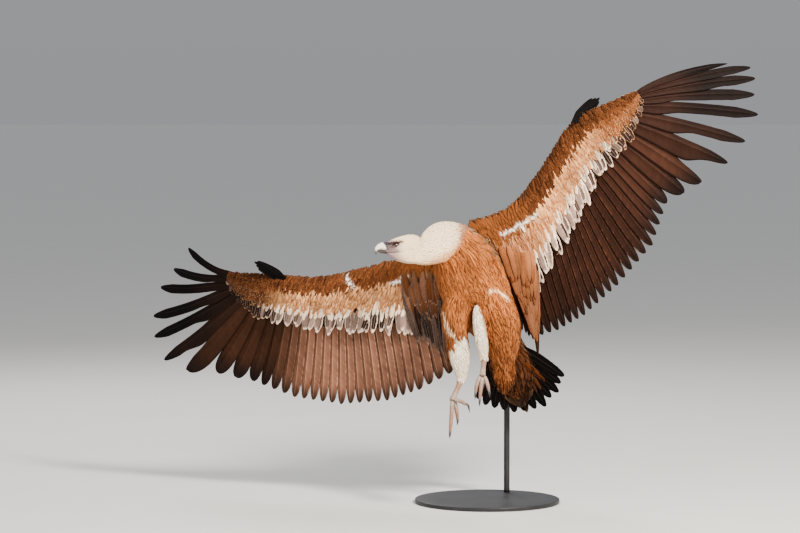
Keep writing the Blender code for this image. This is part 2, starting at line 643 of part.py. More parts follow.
def main():
    clear_scene()
    group = make_collection("griffon_vulture")
    cutters = make_collection("cutters")
    plumage = make_material("tawny plumage", (0.50, 0.20, 0.06), 0.8)
    down = make_material("white down", (0.83, 0.76, 0.66), 0.8)
    wing = make_material("wing coverts", (0.42, 0.17, 0.06), 0.8)
    quill = make_material("dark quills", (0.045, 0.025, 0.018), 0.6)
    horn = make_material("horn", (0.10, 0.09, 0.09), 0.4)
    ivory = make_material("pale bill", (0.72, 0.66, 0.62), 0.35)
    skin = make_material("bare skin", (0.45, 0.38, 0.36), 0.6)
    iris = make_material("iris", (0.12, 0.07, 0.04), 0.1)
    metal = make_material("dark painted steel", (0.03, 0.03, 0.032), 0.45, 0.3)

    trunk = spine_body("trunk", TRUNK_STATIONS, 16, 18, plumage, group)
    coverts = spine_body("tail_coverts", TAIL_COVERT_STATIONS, 9, 14, plumage, group)
    cut(coverts, trunk, cutters)
    build_tail(coverts, quill, group, cutters)

    head = head_body("head", down, group)
    neck = neck_body("neck", NECK_STATIONS, 11, 16, down, group)
    cut(neck, head, cutters)
    cut(neck, trunk, cutters)
    upper_bill = bill_half("bill_upper", UPPER_BILL_STATIONS, 11, ivory, group)
    lower_bill = bill_half("bill_lower", LOWER_BILL_STATIONS, 6, horn, group)
    cut(lower_bill, upper_bill, cutters)
    for bill in (upper_bill, lower_bill):
        cut(bill, head, cutters)
    for side, to_left in (("left", 1), ("right", -1)):
        eye = eyeball(f"eye_{side}", to_left, iris, group)
        cut(head, eye, cutters)

    leg_plans = (("left", LEFT_THIGH_STATIONS, LEFT_SHANK_STATIONS, LEFT_FOOT),
                 ("right", RIGHT_THIGH_STATIONS, RIGHT_SHANK_STATIONS, RIGHT_FOOT))
    for side, thigh_rows, shank_rows, foot_plan in leg_plans:
        thigh = limb(f"thigh_{side}", thigh_rows, 10, 14, plumage, group)
        shank = limb(f"shank_{side}", shank_rows, 8, 12, down, group)
        cut(thigh, trunk, cutters)
        cut(thigh, coverts, cutters)
        cut(shank, thigh, cutters)
        cut(shank, trunk, cutters)
        foot(side, foot_plan, shank, horn, skin, group, cutters)

    materials = {"wing": wing, "quill": quill}
    for side, plan in (("right", RIGHT_WING), ("left", LEFT_WING)):
        arm_pieces = build_wing(side, plan, materials, group, cutters)
        cut(arm_pieces[0], trunk, cutters)
    build_stand(trunk, metal, group, cutters)


main()
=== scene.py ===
import math

import bpy
import numpy as np
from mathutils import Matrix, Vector


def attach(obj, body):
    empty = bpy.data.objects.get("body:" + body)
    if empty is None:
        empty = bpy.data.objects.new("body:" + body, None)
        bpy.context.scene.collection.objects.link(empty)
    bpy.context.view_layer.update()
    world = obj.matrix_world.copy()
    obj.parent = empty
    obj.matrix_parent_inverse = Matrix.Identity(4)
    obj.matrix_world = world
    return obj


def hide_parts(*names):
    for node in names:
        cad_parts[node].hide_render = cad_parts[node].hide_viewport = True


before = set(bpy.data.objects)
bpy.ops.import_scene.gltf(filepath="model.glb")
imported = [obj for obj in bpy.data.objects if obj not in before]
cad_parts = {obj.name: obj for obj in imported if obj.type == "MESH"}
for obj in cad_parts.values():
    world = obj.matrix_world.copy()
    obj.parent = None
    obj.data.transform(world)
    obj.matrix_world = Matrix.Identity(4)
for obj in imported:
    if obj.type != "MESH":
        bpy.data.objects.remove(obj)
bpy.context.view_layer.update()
print("solids loaded")

# The bird's own axes: ahead to the neck, right to its right wing, back away from the belly.
# Places on the bird are given from the middle of its trunk.
pose = {"trunkCentre": (-0.03, -0.08, 0.8), "bank": 25, "lean": 17, "turn": 15}
trunkCentre = np.array(pose["trunkCentre"])
bank, lean, turn = (math.radians(pose[name]) for name in ("bank", "lean", "turn"))
aheadWay = np.array([-math.sin(bank) * math.cos(lean), -math.sin(lean), math.cos(bank) * math.cos(lean)])
levelRight = np.array([-math.cos(bank), 0.0, -math.sin(bank)])
levelBack = np.cross(levelRight, aheadWay)
rightWay = levelRight * math.cos(turn) + levelBack * math.sin(turn)
backWay = levelBack * math.cos(turn) - levelRight * math.sin(turn)


def unit(vectors):
    return vectors / np.maximum(np.linalg.norm(vectors, axis=-1, keepdims=True), 1e-12)


def paint(red, green, blue):
    # a screen colour from 0 to 255 as linear light
    shade = np.array([red, green, blue]) / 255
    return np.where(shade <= 0.04045, shade / 12.92, ((shade + 0.055) / 1.055) ** 2.4)


def mm(*rows):
    # a table in millimetres as metres
    return np.array(rows) / 1000


def smoothstep(low, high, value):
    # 0 at low and 1 at high, smooth between, whichever is greater
    part = np.clip((value - low) / (high - low), 0, 1)
    return part * part * (3 - 2 * part)


def smoothRows(rows, places):
    # rows read at places from 0 to 1 on a cubic curve that leaves each row at its mean slope
    rows = np.asarray(rows, float)
    spot = np.clip(np.asarray(places, float), 0, 1) * (len(rows) - 1)
    first = np.minimum(spot.astype(int), len(rows) - 2)
    part = (spot - first)[..., None]
    slopes = np.gradient(rows, axis=0)
    return ((2 * part**3 - 3 * part**2 + 1) * rows[first] + (part**3 - 2 * part**2 + part) * slopes[first]
            + (3 * part**2 - 2 * part**3) * rows[first + 1] + (part**3 - part**2) * slopes[first + 1])


def slopeOf(rows, place, step):
    return smoothRows(rows, np.clip(place + step, 0, 1)) - smoothRows(rows, np.clip(place - step, 0, 1))


# Bodies: each is a tube, read at a place along it and a turn round it, both from 0 to 1. Their
# tables are rows of millimetres from the trunk's middle.

# along the spine: distance ahead, shift to the right, half width, back, belly
trunkPlan = {
    "stations": mm((250, 20, 30, 20, 20), (225, 15, 80, 50, 55), (165, 8, 112, 78, 95), (80, 10, 128, 88, 120),
                   (0, 12, 132, 88, 125), (-80, 4, 120, 82, 108), (-150, 0, 98, 72, 80), (-210, 0, 72, 55, 55),
                   (-250, 0, 30, 25, 25)),
    "coat": 0.008,
}
tailCovertPlan = {
    "stations": mm((-190, 0, 45, 30, 34), (-240, 6, 66, 30, 38), (-300, 12, 82, 20, 28), (-360, 18, 88, 12, 18),
                   (-410, 24, 66, 6, 10), (-430, 26, 30, 3, 4)),
    "coat": 0.004,
}
tailPlan = {"count": 12, "rootAhead": -0.235, "length": 0.305, "swing": math.radians(4),
            "spread": math.radians(86), "shorter": 0.17, "droop": 0.012}
# along the neck: x, y, z, half width across the view, half height
neckPlan = {
    "stations": mm((-245, -140, 148, 34, 46), (-205, -133, 150, 44, 54), (-172, -120, 166, 54, 68),
                   (-140, -104, 184, 58, 73), (-105, -85, 190, 56, 66), (-65, -60, 185, 48, 56),
                   (-30, -45, 165, 36, 44)),
    "coat": 0.003,
}
# from face to nape: distance ahead of the skull's middle, half width, top, bottom
headPlan = {
    "middle": mm(-272, -142, 158), "ahead": (-0.985, -0.15, -0.085),
    "stations": mm((78, 9, 22, 8), (70, 16, 31, 16), (55, 23, 38, 30), (34, 31, 45, 42), (8, 37, 50, 51),
                   (-18, 41, 52, 56), (-42, 40, 46, 56), (-58, 28, 30, 40)),
    "coat": 0.0012,
}
eyePlan = {"radius": 0.0095, "place": (0.04, 0.0225, 0.02)}   # ahead, to either side, up
# from the face to the hooked tip: ahead, up, half width, half height
billPlan = {
    "upper": mm((60, 17, 12.5, 15), (74, 18, 12.2, 15), (88, 18, 11, 14), (101, 15, 9, 12), (110, 9, 6, 8),
                (113.5, -1, 3.4, 4.5), (113, -9, 1, 1.3)),
    "lower": mm((54, -6, 10, 8), (74, -3, 9.5, 7.5), (90, -0.6, 7.5, 6.2), (101, 1.2, 5, 4.6),
                (106.5, 2.6, 1.2, 1.2)),
}
# down each leg: x, y, z, half width in X, half depth in Y
thighPlans = {
    "left": mm((20, -45, 12, 30, 40), (36, -66, -25, 62, 62), (50, -78, -75, 82, 72), (70, -80, -140, 80, 66),
               (82, -78, -210, 62, 50), (86, -70, -270, 36, 30), (86, -62, -312, 9, 8)),
    "right": mm((-75, -50, -10, 40, 45), (-84, -66, -60, 58, 60), (-90, -82, -115, 56, 60),
                (-92, -96, -165, 40, 45), (-90, -104, -195, 16, 18)),
}
shankPlans = {
    "left": mm((-16, -120, -50, 12, 18), (-10, -142, -95, 21, 25), (-2, -156, -150, 24, 26),
               (6, -165, -205, 21, 22), (11, -170, -246, 13, 14)),
    "right": mm((-94, -108, -110, 28, 28), (-86, -124, -180, 38, 36), (-78, -138, -240, 37, 34),
                (-71, -146, -288, 26, 24), (-69, -150, -326, 14, 14)),
}
# the bare shin's rows with their radius, then each toe's joints and its claw's tip
footPlans = {
    "right": {
        "shin": mm((-70, -149, -318, 12), (-86, -176, -348, 9), (-101, -206, -378, 10.5), (-105, -214, -390, 12.5)),
        "inner": mm((-98, -216, -386), (-74, -226, -392), (-56, -232, -402), (-43, -228, -434)),
        "middle": mm((-106, -220, -392), (-110, -240, -450), (-114, -242, -500), (-116, -232, -527)),
        "outer": mm((-99, -210, -392), (-90, -212, -425), (-87, -208, -456), (-88, -198, -482)),
        "hind": mm((-104, -206, -388), (-100, -180, -402), (-96, -160, -418), (-94, -156, -444)),
    },
    "left": {
        "shin": mm((11, -170, -240, 12), (8, -198, -262, 9), (4, -226, -288, 10.5), (3, -234, -298, 12.5)),
        "inner": mm((-6, -236, -300), (-18, -250, -330), (-22, -256, -356), (-24, -250, -384)),
        "middle": mm((2, -240, -304), (-4, -262, -345), (-7, -268, -378), (-8, -260, -408)),
        "outer": mm((11, -234, -300), (21, -244, -328), (26, -248, -350), (29, -240, -378)),
        "hind": mm((3, -226, -298), (6, -202, -312), (8, -184, -328), (8, -180, -352)),
    },
}
toeNames = ("inner", "middle", "outer", "hind")
toeSize = {"radii": (0.0075, 0.0069, 0.0056), "clawRadius": 0.0052}

# wing rows from the body out: leading edge x, y, z, trailing edge x, y, z, thickness;
# quill roots from the outermost in; the tips of the quills whose numbers tipNumbers gives
wingPlans = {
    "right": {
        # light scales the coverts' colours as painted shade, 1 for none; dusk darkens them towards the hand
        "dusk": 0.9, "light": 1.0,
        "stations": mm((-95, 20, 120, -85, 60, -150, 60), (-200, 50, 128, -200, 72, -165, 58),
                       (-330, 85, 107, -315, 95, -160, 52), (-498, 130, 63, -502, 145, -162, 46),
                       (-610, 165, 42, -620, 185, -162, 42), (-722, 205, 46, -745, 230, -140, 38),
                       (-819, 260, 50, -843, 290, -115, 32), (-893, 310, 47, -914, 340, -65, 24),
                       (-948, 345, 50, -953, 365, -3, 14)),
        "roots": mm((-925, 330, 42), (-840, 275, 14), (-735, 215, 5), (-560, 160, -30), (-400, 115, -40),
                    (-190, 70, -50)),
        "tips": mm((-1121, 600, 129), (-1182, 650, 45), (-1236, 680, -28), (-1265, 680, -142), (-1261, 660, -222),
                   (-1219, 610, -310), (-1128, 540, -342), (-1006, 480, -345), (-863, 385, -372), (-700, 310, -428),
                   (-520, 235, -448), (-345, 165, -428), (-225, 110, -382), (-112, 75, -318)),
        "outerBow": mm(0, -50, -45), "innerBow": mm(0, 20, 0),
        "splits": (0.3, 0.3, 0.3, 0.4, 0.5, 0.7, 0.9, 0.9, 0.9),
        "alula": mm((-752, 205, 40), (-848, 235, 88)),
    },
    "left": {
        # this wing's light of 0.66 is painted shade over all its coverts
        "dusk": 0.3, "light": 0.66,
        "stations": mm((-52, 4, 254, 70, 0, 20, 60), (90, -50, 306, 170, -10, -30, 58),
                       (180, -90, 402, 262, -45, 85, 54), (244, -120, 501, 334, -85, 225, 48),
                       (308, -160, 603, 390, -130, 330, 42), (360, -188, 652, 449, -165, 440, 38),
                       (443, -200, 688, 524, -185, 531, 32), (519, -202, 721, 576, -190, 640, 24),
                       (555, -200, 733, 582, -193, 700, 14)),
        "roots": mm((545, -200, 715), (465, -196, 670), (375, -180, 600), (310, -130, 470), (245, -85, 350),
                    (110, -30, 150)),
        "tips": mm((902, -90, 835), (986, -90, 821), (1003, -95, 781), (1000, -100, 722), (1013, -105, 649),
                   (966, -110, 551), (902, -115, 472), (807, -115, 403), (680, -110, 325), (630, -95, 170),
                   (505, -65, 20), (385, -35, -92), (290, 5, -150), (206, 35, -178)),
        "outerBow": mm(-35, -30, 35), "innerBow": mm(0, 10, 10),
        "splits": (0.84, 0.8, 0.68, 0.36, 0.38, 0.56, 0.78, 0.9, 0.9),
        "alula": mm((352, -190, 640), (424, -178, 712)),
    },
}
tipNumbers = (0, 1, 2, 3, 4, 5, 6, 7, 9, 13, 18, 23, 27, 30)       # from the outermost
quillCounts = {"primaries": 10, "secondaries": 21}
wingShape = {"backShare": 0.6, "edge": 0.0022, "coat": 0.006}

headAhead = unit(np.array(headPlan["ahead"]))
headSide = unit(np.cross((0.0, 0.0, 1.0), headAhead))      # the bird's left
headUp = np.cross(headAhead, headSide)
headMiddle = headPlan["middle"]


def spineFrame(stations):
    # rows of ahead, right, half width, back and belly as places and directions
    def at(place):
        rows = smoothRows(stations, place)
        middle = rows[..., :1] * aheadWay + rows[..., 1:2] * rightWay
        return middle, rightWay, backWay, rows[..., 2], rows[..., 3], rows[..., 4]
    return at


def limbFrame(stations, upright=False):
    # rings square to a curve of rows x, y, z, half width and half depth
    def at(place):
        rows, way = smoothRows(stations, place), slopeOf(stations, place, 0.01)[..., :3]
        if upright:
            across = unit(np.cross((0.0, 0.0, 1.0), way))
            up = unit(np.cross(way, across))
        else:
            up = unit(np.cross(way, (1.0, 0.0, 0.0)))
            across = unit(np.cross(up, way))
        return rows[..., :3], across, up, rows[..., 3], rows[..., 4], rows[..., 4]
    return at


def headFrame(place):
    rows = smoothRows(headPlan["stations"], place)
    return headMiddle + rows[..., :1] * headAhead, headSide, headUp, rows[..., 1], rows[..., 2], rows[..., 3]


trunkTube, tailTube = spineFrame(trunkPlan["stations"]), spineFrame(tailCovertPlan["stations"])
neckTube = limbFrame(neckPlan["stations"], True)
sides = {"left": 1, "right": -1}       # how far to the bird's left


def tubePoint(at, place, turns, inset=0.0):
    # middle + across * cos(turn) * half width + up * sin(turn) * height, less the inset
    middle, across, up, half, rise, drop = at(place)
    angle = 2 * math.pi * turns
    height = np.where(np.sin(angle) > 0, rise, drop)
    return (middle + across * (np.cos(angle) * np.maximum(half - inset, half * 0.3))[..., None]
            + up * (np.sin(angle) * np.maximum(height - inset, height * 0.3))[..., None])


def tubeNormal(at, place, turns):
    # the cross product of the slopes along and round the tube, turned away from its middle
    step = 0.004
    along = tubePoint(at, np.clip(place + step, 0, 1), turns) - tubePoint(at, np.clip(place - step, 0, 1), turns)
    about = tubePoint(at, place, turns + step) - tubePoint(at, place, turns - step)
    normal = unit(np.cross(along, about))
    outward = tubePoint(at, place, turns) - at(place)[0]
    return normal * np.sign(np.sum(normal * outward, axis=-1, keepdims=True))


def wingRow(wing, span):
    # leading and trailing edge, thickness, and the way square to the wing on its back
    rows, slope = smoothRows(wing["stations"], span), slopeOf(wing["stations"], span, 0.004)
    lead, trail = rows[..., :3], rows[..., 3:6]
    dorsal = unit(np.cross(slope[..., :3] + slope[..., 3:6], trail - lead))
    dorsal = dorsal * np.where(dorsal[..., 1:2] < 0, -1.0, 1.0)
    return lead, trail, rows[..., 6], dorsal


def wingPoint(wing, span, chord, side, height=0.0, floor=0.0):
    # lead + chord * (trail - lead) + dorsal * side * (thickness * sin(pi * chord^0.55) + height)
    lead, trail, thickness, dorsal = wingRow(wing, span)
    share = np.where(np.asarray(side) > 0, wingShape["backShare"], 1 - wingShape["backShare"])
    hump = np.sin(math.pi * np.clip(chord, 0, 1) ** 0.55)
    lift = np.maximum(thickness * hump * share + wingShape["edge"] * np.clip(chord, 0, 1) + height, floor)
    return lead + (trail - lead) * np.asarray(chord)[..., None] + dorsal * (side * lift)[..., None]


def linked(name, data):
    piece = bpy.data.objects.new(name, data)
    bpy.context.scene.collection.objects.link(piece)
    return piece


def addMesh(name, points, faces, material=None, smooth=True):
    # one piece, its place in its mesh
    mesh = bpy.data.meshes.new(name)
    mesh.from_pydata((np.asarray(points).reshape(-1, 3) + trunkCentre).tolist(), [], faces)
    mesh.polygons.foreach_set("use_smooth", [smooth] * len(mesh.polygons))
    if material is not None:
        mesh.materials.append(material)
    return linked(name, mesh)


def placesOf(mesh):
    # a mesh's points from the trunk's middle, a row for each
    places = np.empty(len(mesh.vertices) * 3)
    mesh.vertices.foreach_get("co", places)
    return places.reshape(-1, 3) - trunkCentre


def settle(piece, slotName, *nodes):
    # the solids that a piece stands for and its body; slotName is not used
    if nodes:
        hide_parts(*nodes)
    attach(piece, "root")
    return piece


def gridFaces(rows, around):
    # quads between neighbouring rings, and a fan to a pole at each end
    row, k = np.meshgrid(np.arange(rows - 1), np.arange(around), indexing="ij")
    after = (k + 1) % around
    quads = np.stack([row * around + k, row * around + after, (row + 1) * around + after,
                      (row + 1) * around + k], -1).reshape(-1, 4)
    side = np.arange(around)
    first, last = rows * around, rows * around + 1
    start = np.stack([np.full(around, first), (side + 1) % around, side], -1)
    top = (rows - 1) * around
    end = np.stack([np.full(around, last), top + side, top + (side + 1) % around], -1)
    return quads.tolist() + start.tolist() + end.tolist()


def addLoft(name, rings, material=None):
    # a closed skin through rings, with a pole in the middle of each end ring
    rows, around = rings.shape[:2]
    points = np.vstack([rings.reshape(-1, 3), rings[0].mean(0), rings[-1].mean(0)])
    return turnOutward(addMesh(name, points, gridFaces(rows, around), material))


def turnOutward(piece):
    # a closed mesh whose signed volume is negative is inside out, so its faces are flipped
    mesh = piece.data
    places = placesOf(mesh)
    places -= places.mean(0)
    mesh.calc_loop_triangles()
    corners = np.empty(len(mesh.loop_triangles) * 3, int)
    mesh.loop_triangles.foreach_get("vertices", corners)
    a, b, c = places[corners.reshape(-1, 3)].transpose(1, 0, 2)
    if np.sum(a * np.cross(b, c)) < 0:
        mesh.flip_normals()
    return piece


def setAttribute(mesh, name, kind, values):
    field = {"FLOAT": "value", "FLOAT_VECTOR": "vector", "FLOAT_COLOR": "color"}[kind]
    layer = mesh.attributes.new(name, kind, "POINT")
    layer.data.foreach_set(field, np.ascontiguousarray(values, dtype=np.float32).ravel())


def asColour(values, strength=1.0):
    # red, green, blue with a fourth number for how strongly it shows
    values = np.asarray(values, float)
    return np.concatenate([values, np.broadcast_to(strength, values.shape[:-1])[..., None]], -1)


# how a feather is cut: its columns from edge to edge above and between them below
feathersCut = {
    "tuft": {"columns": (-1, 0, 1), "under": ()},
    "contour": {"columns": (-1, -0.4, 0.4, 1), "under": ()},
    "covert": {"columns": (-1, -0.55, 0, 0.55, 1), "under": (-0.5, 0.5)},
    "quill": {"columns": (-1, -0.86, -0.5, -0.09, 0, 0.09, 0.5, 0.86, 1),
              "under": (-0.86, -0.5, -0.09, 0, 0.09, 0.5, 0.86)},
}
tuftPatch = 0.003                      # the side of a small feather's patch in the OFBake map


def featherFaces(ring, rows, each):
    # the corners of one feather's faces and how many each face has, then the same corners on its
    # own patch: round the ring across, along the feather upward
    k = np.arange(ring)
    after = (k + 1) % ring
    last = 1 + (rows - 3) * ring
    rootFan = np.stack([np.zeros(ring, int), 1 + after, 1 + k], -1)
    tipFan = np.stack([last + k, last + after, np.full(ring, each - 1)], -1)
    step = np.arange(rows - 3)[:, None] * ring + 1
    quads = np.stack([step + k, step + after, step + ring + after, step + ring + k], -1).reshape(-1, 4)
    corners = np.concatenate([rootFan.ravel(), quads.ravel(), tipFan.ravel()])
    sizes = np.concatenate([np.full(ring, 3), np.full(len(quads), 4), np.full(ring, 3)])
    rowAt = np.arange(1, rows - 1) / (rows - 1)
    low, high = k / ring, (k + 1) / ring
    middle = (low + high) / 2
    rootPatch = np.stack([np.stack([middle, high, low], -1), np.tile([0, rowAt[0], rowAt[0]], (ring, 1))], -1)
    quadU = np.tile(np.stack([low, high, high, low], -1), (rows - 3, 1))
    quadV = np.repeat(np.stack([rowAt[:-1], rowAt[:-1], rowAt[1:], rowAt[1:]], -1), ring, axis=0)
    tipPatch = np.stack([np.stack([low, high, middle], -1), np.tile([rowAt[-1], rowAt[-1], 1], (ring, 1))], -1)
    patch = [part.reshape(-1, 2) for part in (rootPatch, np.stack([quadU, quadV], -1), tipPatch)]
    return corners, sizes, np.vstack(patch)


def addFeathers(name, lay, cutName, material, slotName, *nodes):
    # Each feather is a closed ring of columns carried along its spine:
    # point = spine + side * across * half width
    #         + up * (half thickness at the column - camber * half width * across^2 - tilt * across)
    cut = feathersCut[cutName]
    across = np.array([*cut["columns"], *cut["under"][::-1]], float)
    above = np.where(np.arange(len(across)) < len(cut["columns"]), 1.0, -1.0)
    ring = len(across)
    spine, left, right = lay["spine"], lay["left"], lay["right"]
    count, rows = left.shape
    along = unit(np.gradient(spine, axis=1))
    side = unit(np.cross(along, lay["up"]))
    up = np.cross(side, along)
    across = np.broadcast_to(across, (count, rows, ring)).copy()
    width = np.where(across < 0, left[..., None], right[..., None])
    if "rachis" in lay:                       # the shaft's columns keep a width of their own
        near = (np.abs(across) < 0.2) & (across != 0)
        share = np.clip(lay["rachis"][..., None] / np.maximum(width, 1e-5), 0, 0.4)
        across = np.where(near, np.sign(across) * share, across)
    height = lay["thickness"] / 2 * (1 - across**4) * above - lay["camber"] * width * across**2
    if "tilt" in lay:
        height = height - lay["tilt"][..., None] * across
    if "rachis" in lay:
        ridge = np.where(np.abs(across) < 0.001, lay["rachis"][..., None] * 0.9, 0)
        height = height + ridge * above
    points = spine[:, :, None] + side[:, :, None] * (across * width)[..., None] + up[:, :, None] * height[..., None]

    each = ring * (rows - 2) + 2
    places = np.empty((count, each, 3))
    places[:, 0], places[:, -1] = spine[:, 0], spine[:, -1]
    places[:, 1:-1] = points[:, 1:-1].reshape(count, -1, 3)
    corners, sizes, patch = featherFaces(ring, rows, each)
    mesh = bpy.data.meshes.new(name)
    mesh.vertices.add(count * each)
    mesh.vertices.foreach_set("co", (places + trunkCentre).ravel())
    allCorners = (corners + np.arange(count)[:, None] * each).ravel()
    mesh.loops.add(len(allCorners))
    mesh.loops.foreach_set("vertex_index", allCorners)
    allSizes = np.tile(sizes, count)
    mesh.polygons.add(len(allSizes))
    mesh.polygons.foreach_set("loop_start", np.cumsum(allSizes) - allSizes)
    mesh.update(calc_edges=True)
    mesh.polygons.foreach_set("use_smooth", [True] * len(mesh.polygons))
    spots = lay["rootPlace"][:, None] + (patch - 0.5) * np.array(lay.get("patchSize", (tuftPatch, tuftPatch)))
    mesh.uv_layers.new(name="OFBake").data.foreach_set("uv", np.clip(spots, 0, 1).ravel())

    def perPoint(layer, kind, values):
        # values of shape (count, rows, ring, size) as one row for each point, the ends as means
        values = np.broadcast_to(values, (count, rows, ring, values.shape[-1]))
        made = np.empty((count, each, values.shape[-1]))
        made[:, 0], made[:, -1] = values[:, 0].mean(1), values[:, -1].mean(1)
        made[:, 1:-1] = values[:, 1:-1].reshape(count, -1, values.shape[-1])
        setAttribute(mesh, layer, kind, made)

    metres = np.linalg.norm(np.diff(spine, axis=1), axis=2).cumsum(axis=1)
    metres = np.concatenate([np.zeros((count, 1)), metres], axis=1)[..., None]
    part = np.array(lay.get("reach", np.linspace(0, 1, rows)))[None, :, None]
    vane = [np.broadcast_to(values, across.shape) for values in (across, part, metres)]
    perPoint("vane", "FLOAT_VECTOR", np.stack(vane, -1))
    perPoint("tone", "FLOAT", lay["tone"][:, None, None, None])
    for layer in ("vaneColour", "rimColour", "shaftColour"):
        colour = lay[layer][:, :, None]
        if layer + "Under" in lay:
            colour = np.where((above > 0)[:, None], colour, lay[layer + "Under"][:, :, None])
        perPoint(layer, "FLOAT_COLOR", colour)
    mesh.materials.append(material)
    print(f"{name}: {count} feathers, {np.sum(allSizes - 2)} triangles")
    return settle(linked(name, mesh), slotName, *nodes)


def outline(reach, fullAt, tipPower):
    # a vane's width along it: swells from the root by fullAt, then closes like (1 - t^p)^0.5
    swell = 0.25 + 0.75 * smoothstep(0, fullAt, reach)
    return swell * np.sqrt(np.clip(1 - reach**tipPower, 0, 1))


def joinLays(lays):
    # several lays of the same cut as one
    return {key: np.concatenate([lay[key] for lay in lays]) if isinstance(value, np.ndarray) else value
            for key, value in lays[0].items()}


def keepWhere(lay, chosen):
    # some of a lay's feathers, by a mask or a slice
    count = len(lay["tone"])
    return {key: value[chosen] if isinstance(value, np.ndarray) and len(value) == count else value
            for key, value in lay.items()}


def strips(lay):
    # large feathers get a strip each of their own OFBake map
    count = len(lay["tone"])
    place = np.stack([(np.arange(count) + 0.5) / count, np.full(count, 0.5)], -1)
    return dict(lay, rootPlace=place, patchSize=(0.94 / count, 0.98))


def eased(count, power):
    # 0 to 1 in steps that shorten towards 1
    return 1 - (1 - np.linspace(0, 1, count)) ** power


def evenly(values):
    # from 0 to 1 with a small border
    return 0.01 + 0.98 * values


def tubeLength(at):
    places = np.linspace(0, 1, 60)
    return np.linalg.norm(np.diff(at(places)[0], axis=0), axis=1).sum()


def layOnTube(at, plan, dice):
    # Staggered rows along a tube. A feather starts at (place, turn) and follows the tube's own
    # surface towards its rear, rising from its root's depth to its tip's height, and goes
    # straight on past the place where the tube starts to close.
    total = tubeLength(at)
    rowCount = max(int((plan["last"] - plan["first"]) * total / plan["rowStep"]), 2)
    starts, turns = [], []
    for row, place in enumerate(np.linspace(plan["first"], plan["last"], rowCount)):
        half, rise, drop = (float(np.asarray(value)) for value in at(np.array(place))[3:])
        girth = 2 * math.pi * (half + (rise + drop) / 2) / 2
        inRow = max(int(girth / plan["step"]), 5)
        turns.append((np.arange(inRow) + 0.5 * (row % 2) + dice.uniform(-0.32, 0.32, inRow)) / inRow)
        starts.append(np.full(inRow, place))
    turnAt, start = np.concatenate(turns) % 1, np.concatenate(starts)
    start = start + dice.uniform(-0.5, 0.5, len(start)) * plan["rowStep"] / total
    low, high = plan["turns"]
    inside = (turnAt - low) % 1 <= high - low
    turnAt, start = turnAt[inside], np.clip(start[inside], 0.005, 0.99)
    count, rows = len(start), plan["rows"]
    tone = dice.random(count)
    length = np.interp(start, *plan["length"]) * (0.82 + 0.36 * dice.random(count))
    reach = np.linspace(0, 1, rows)
    places = start[:, None] + length[:, None] * reach / total
    end = plan["leave"]
    turnPath = turnAt[:, None] + dice.normal(0, plan["swirl"], count)[:, None] * reach
    held = np.minimum(places, np.maximum(end, start[:, None]))
    over = np.clip(places - np.maximum(end, start[:, None]), 0, None) * total
    leaving = unit(tubePoint(at, np.clip(held, 0, end), turnPath)
                   - tubePoint(at, np.clip(held, 0, end) - 0.01, turnPath))
    axis = unit(at(np.array(end))[0] - at(np.array(end - 0.1))[0])
    leaving = unit(leaving + (axis - leaving) * plan["straight"] * (over > 0)[..., None])
    up = tubeNormal(at, np.clip(held, 0.02, max(end, 0.5)), turnPath)
    low, high = plan["height"]
    rise = low + (high - low) * reach + (dice.uniform(-0.5, 0.5, count) * plan["loose"])[:, None] * reach
    spine = tubePoint(at, held, turnPath) + leaving * over[..., None] + up * rise[..., None]
    bend = dice.normal(0, plan["stray"], count)[:, None] * length[:, None] * reach**2
    spine = spine + unit(np.cross(leaving, up)) * bend[..., None]
    half = (np.interp(start, *plan["width"]) / 2)[:, None] * outline(reach, *plan["outline"])
    half = half * (1 + plan["ragged"] * dice.normal(0, 1, (count, rows)))
    return {"spine": spine, "up": up, "left": half, "right": half, "tone": tone, "rise": rise,
            "depth": plan["depth"], "rootPlace": np.stack([evenly(turnAt % 1), evenly(start)], -1),
            "thickness": plan["thickness"], "camber": plan["camber"]}


def nearestOnSkin(points):
    # the nearest places on the skin and its normals there: two Shrinkwraps that lie a
    # centimetre apart, both above the surface
    probe = addMesh("probe", points, [])
    wrap = probe.modifiers.new("wrap", "SHRINKWRAP")
    wrap.target, wrap.wrap_mode = skin, "ABOVE_SURFACE"
    found = []
    for wrap.offset in (0.0, 0.01):
        shaped = takeShape(probe, "shaped")
        found.append(placesOf(shaped))
        bpy.data.meshes.remove(shaped)
    bpy.data.objects.remove(probe)
    return found[0], unit(found[1] - found[0])


def drape(lay, furthest=0.022):
    # each spine is lowered or raised to follow the one skin: point = nearest skin point
    # + normal * (coat depth + rise), and only where that is near
    shape = lay["spine"].shape
    points, oldUp = lay["spine"].reshape(-1, 3), lay["up"].reshape(-1, 3)
    found, normals = nearestOnSkin(points)
    up = unit(normals + oldUp)
    held = 1 - smoothstep(furthest * 0.6, furthest, np.linalg.norm(points - found, axis=1))[:, None]
    moved = found + up * (lay["depth"] + lay["rise"]).reshape(-1, 1)
    spine = (points + (moved - points) * held).reshape(shape)
    # a running mean along each spine takes the skin's facets out
    spine[:, 1:-1] = (spine[:, :-2] + 2 * spine[:, 1:-1] + spine[:, 2:]) / 4
    return dict(lay, spine=spine, up=unit(oldUp + (up - oldUp) * held).reshape(shape))


def keepShown(lay, deepest):
    # feathers whose root lies deeper than this inside the skin can't be seen, and are left out
    roots = lay["spine"][:, 2]
    places, normals = nearestOnSkin(roots)
    return keepWhere(lay, np.sum((roots - places) * normals, axis=1) > -deepest)


def patchy(points, scale, seed):
    # broad light and dark patches: a sum of three slow waves over the place
    waves = [np.sin(points @ np.array(way) * scale + seed * push) for way, push in
             (((1.0, 0.4, 0.7), 1.3), ((-0.6, 0.2, 1.1), 2.1), ((0.3, -0.9, -0.8), 3.7))]
    return sum(waves) / 3


def tint(colour):
    # a colour by its name, or the colours themselves
    return colours[colour] if isinstance(colour, str) else np.asarray(colour)


def blend(low, high, share):
    share = np.asarray(share)[..., None]
    return tint(low) * (1 - share) + tint(high) * share


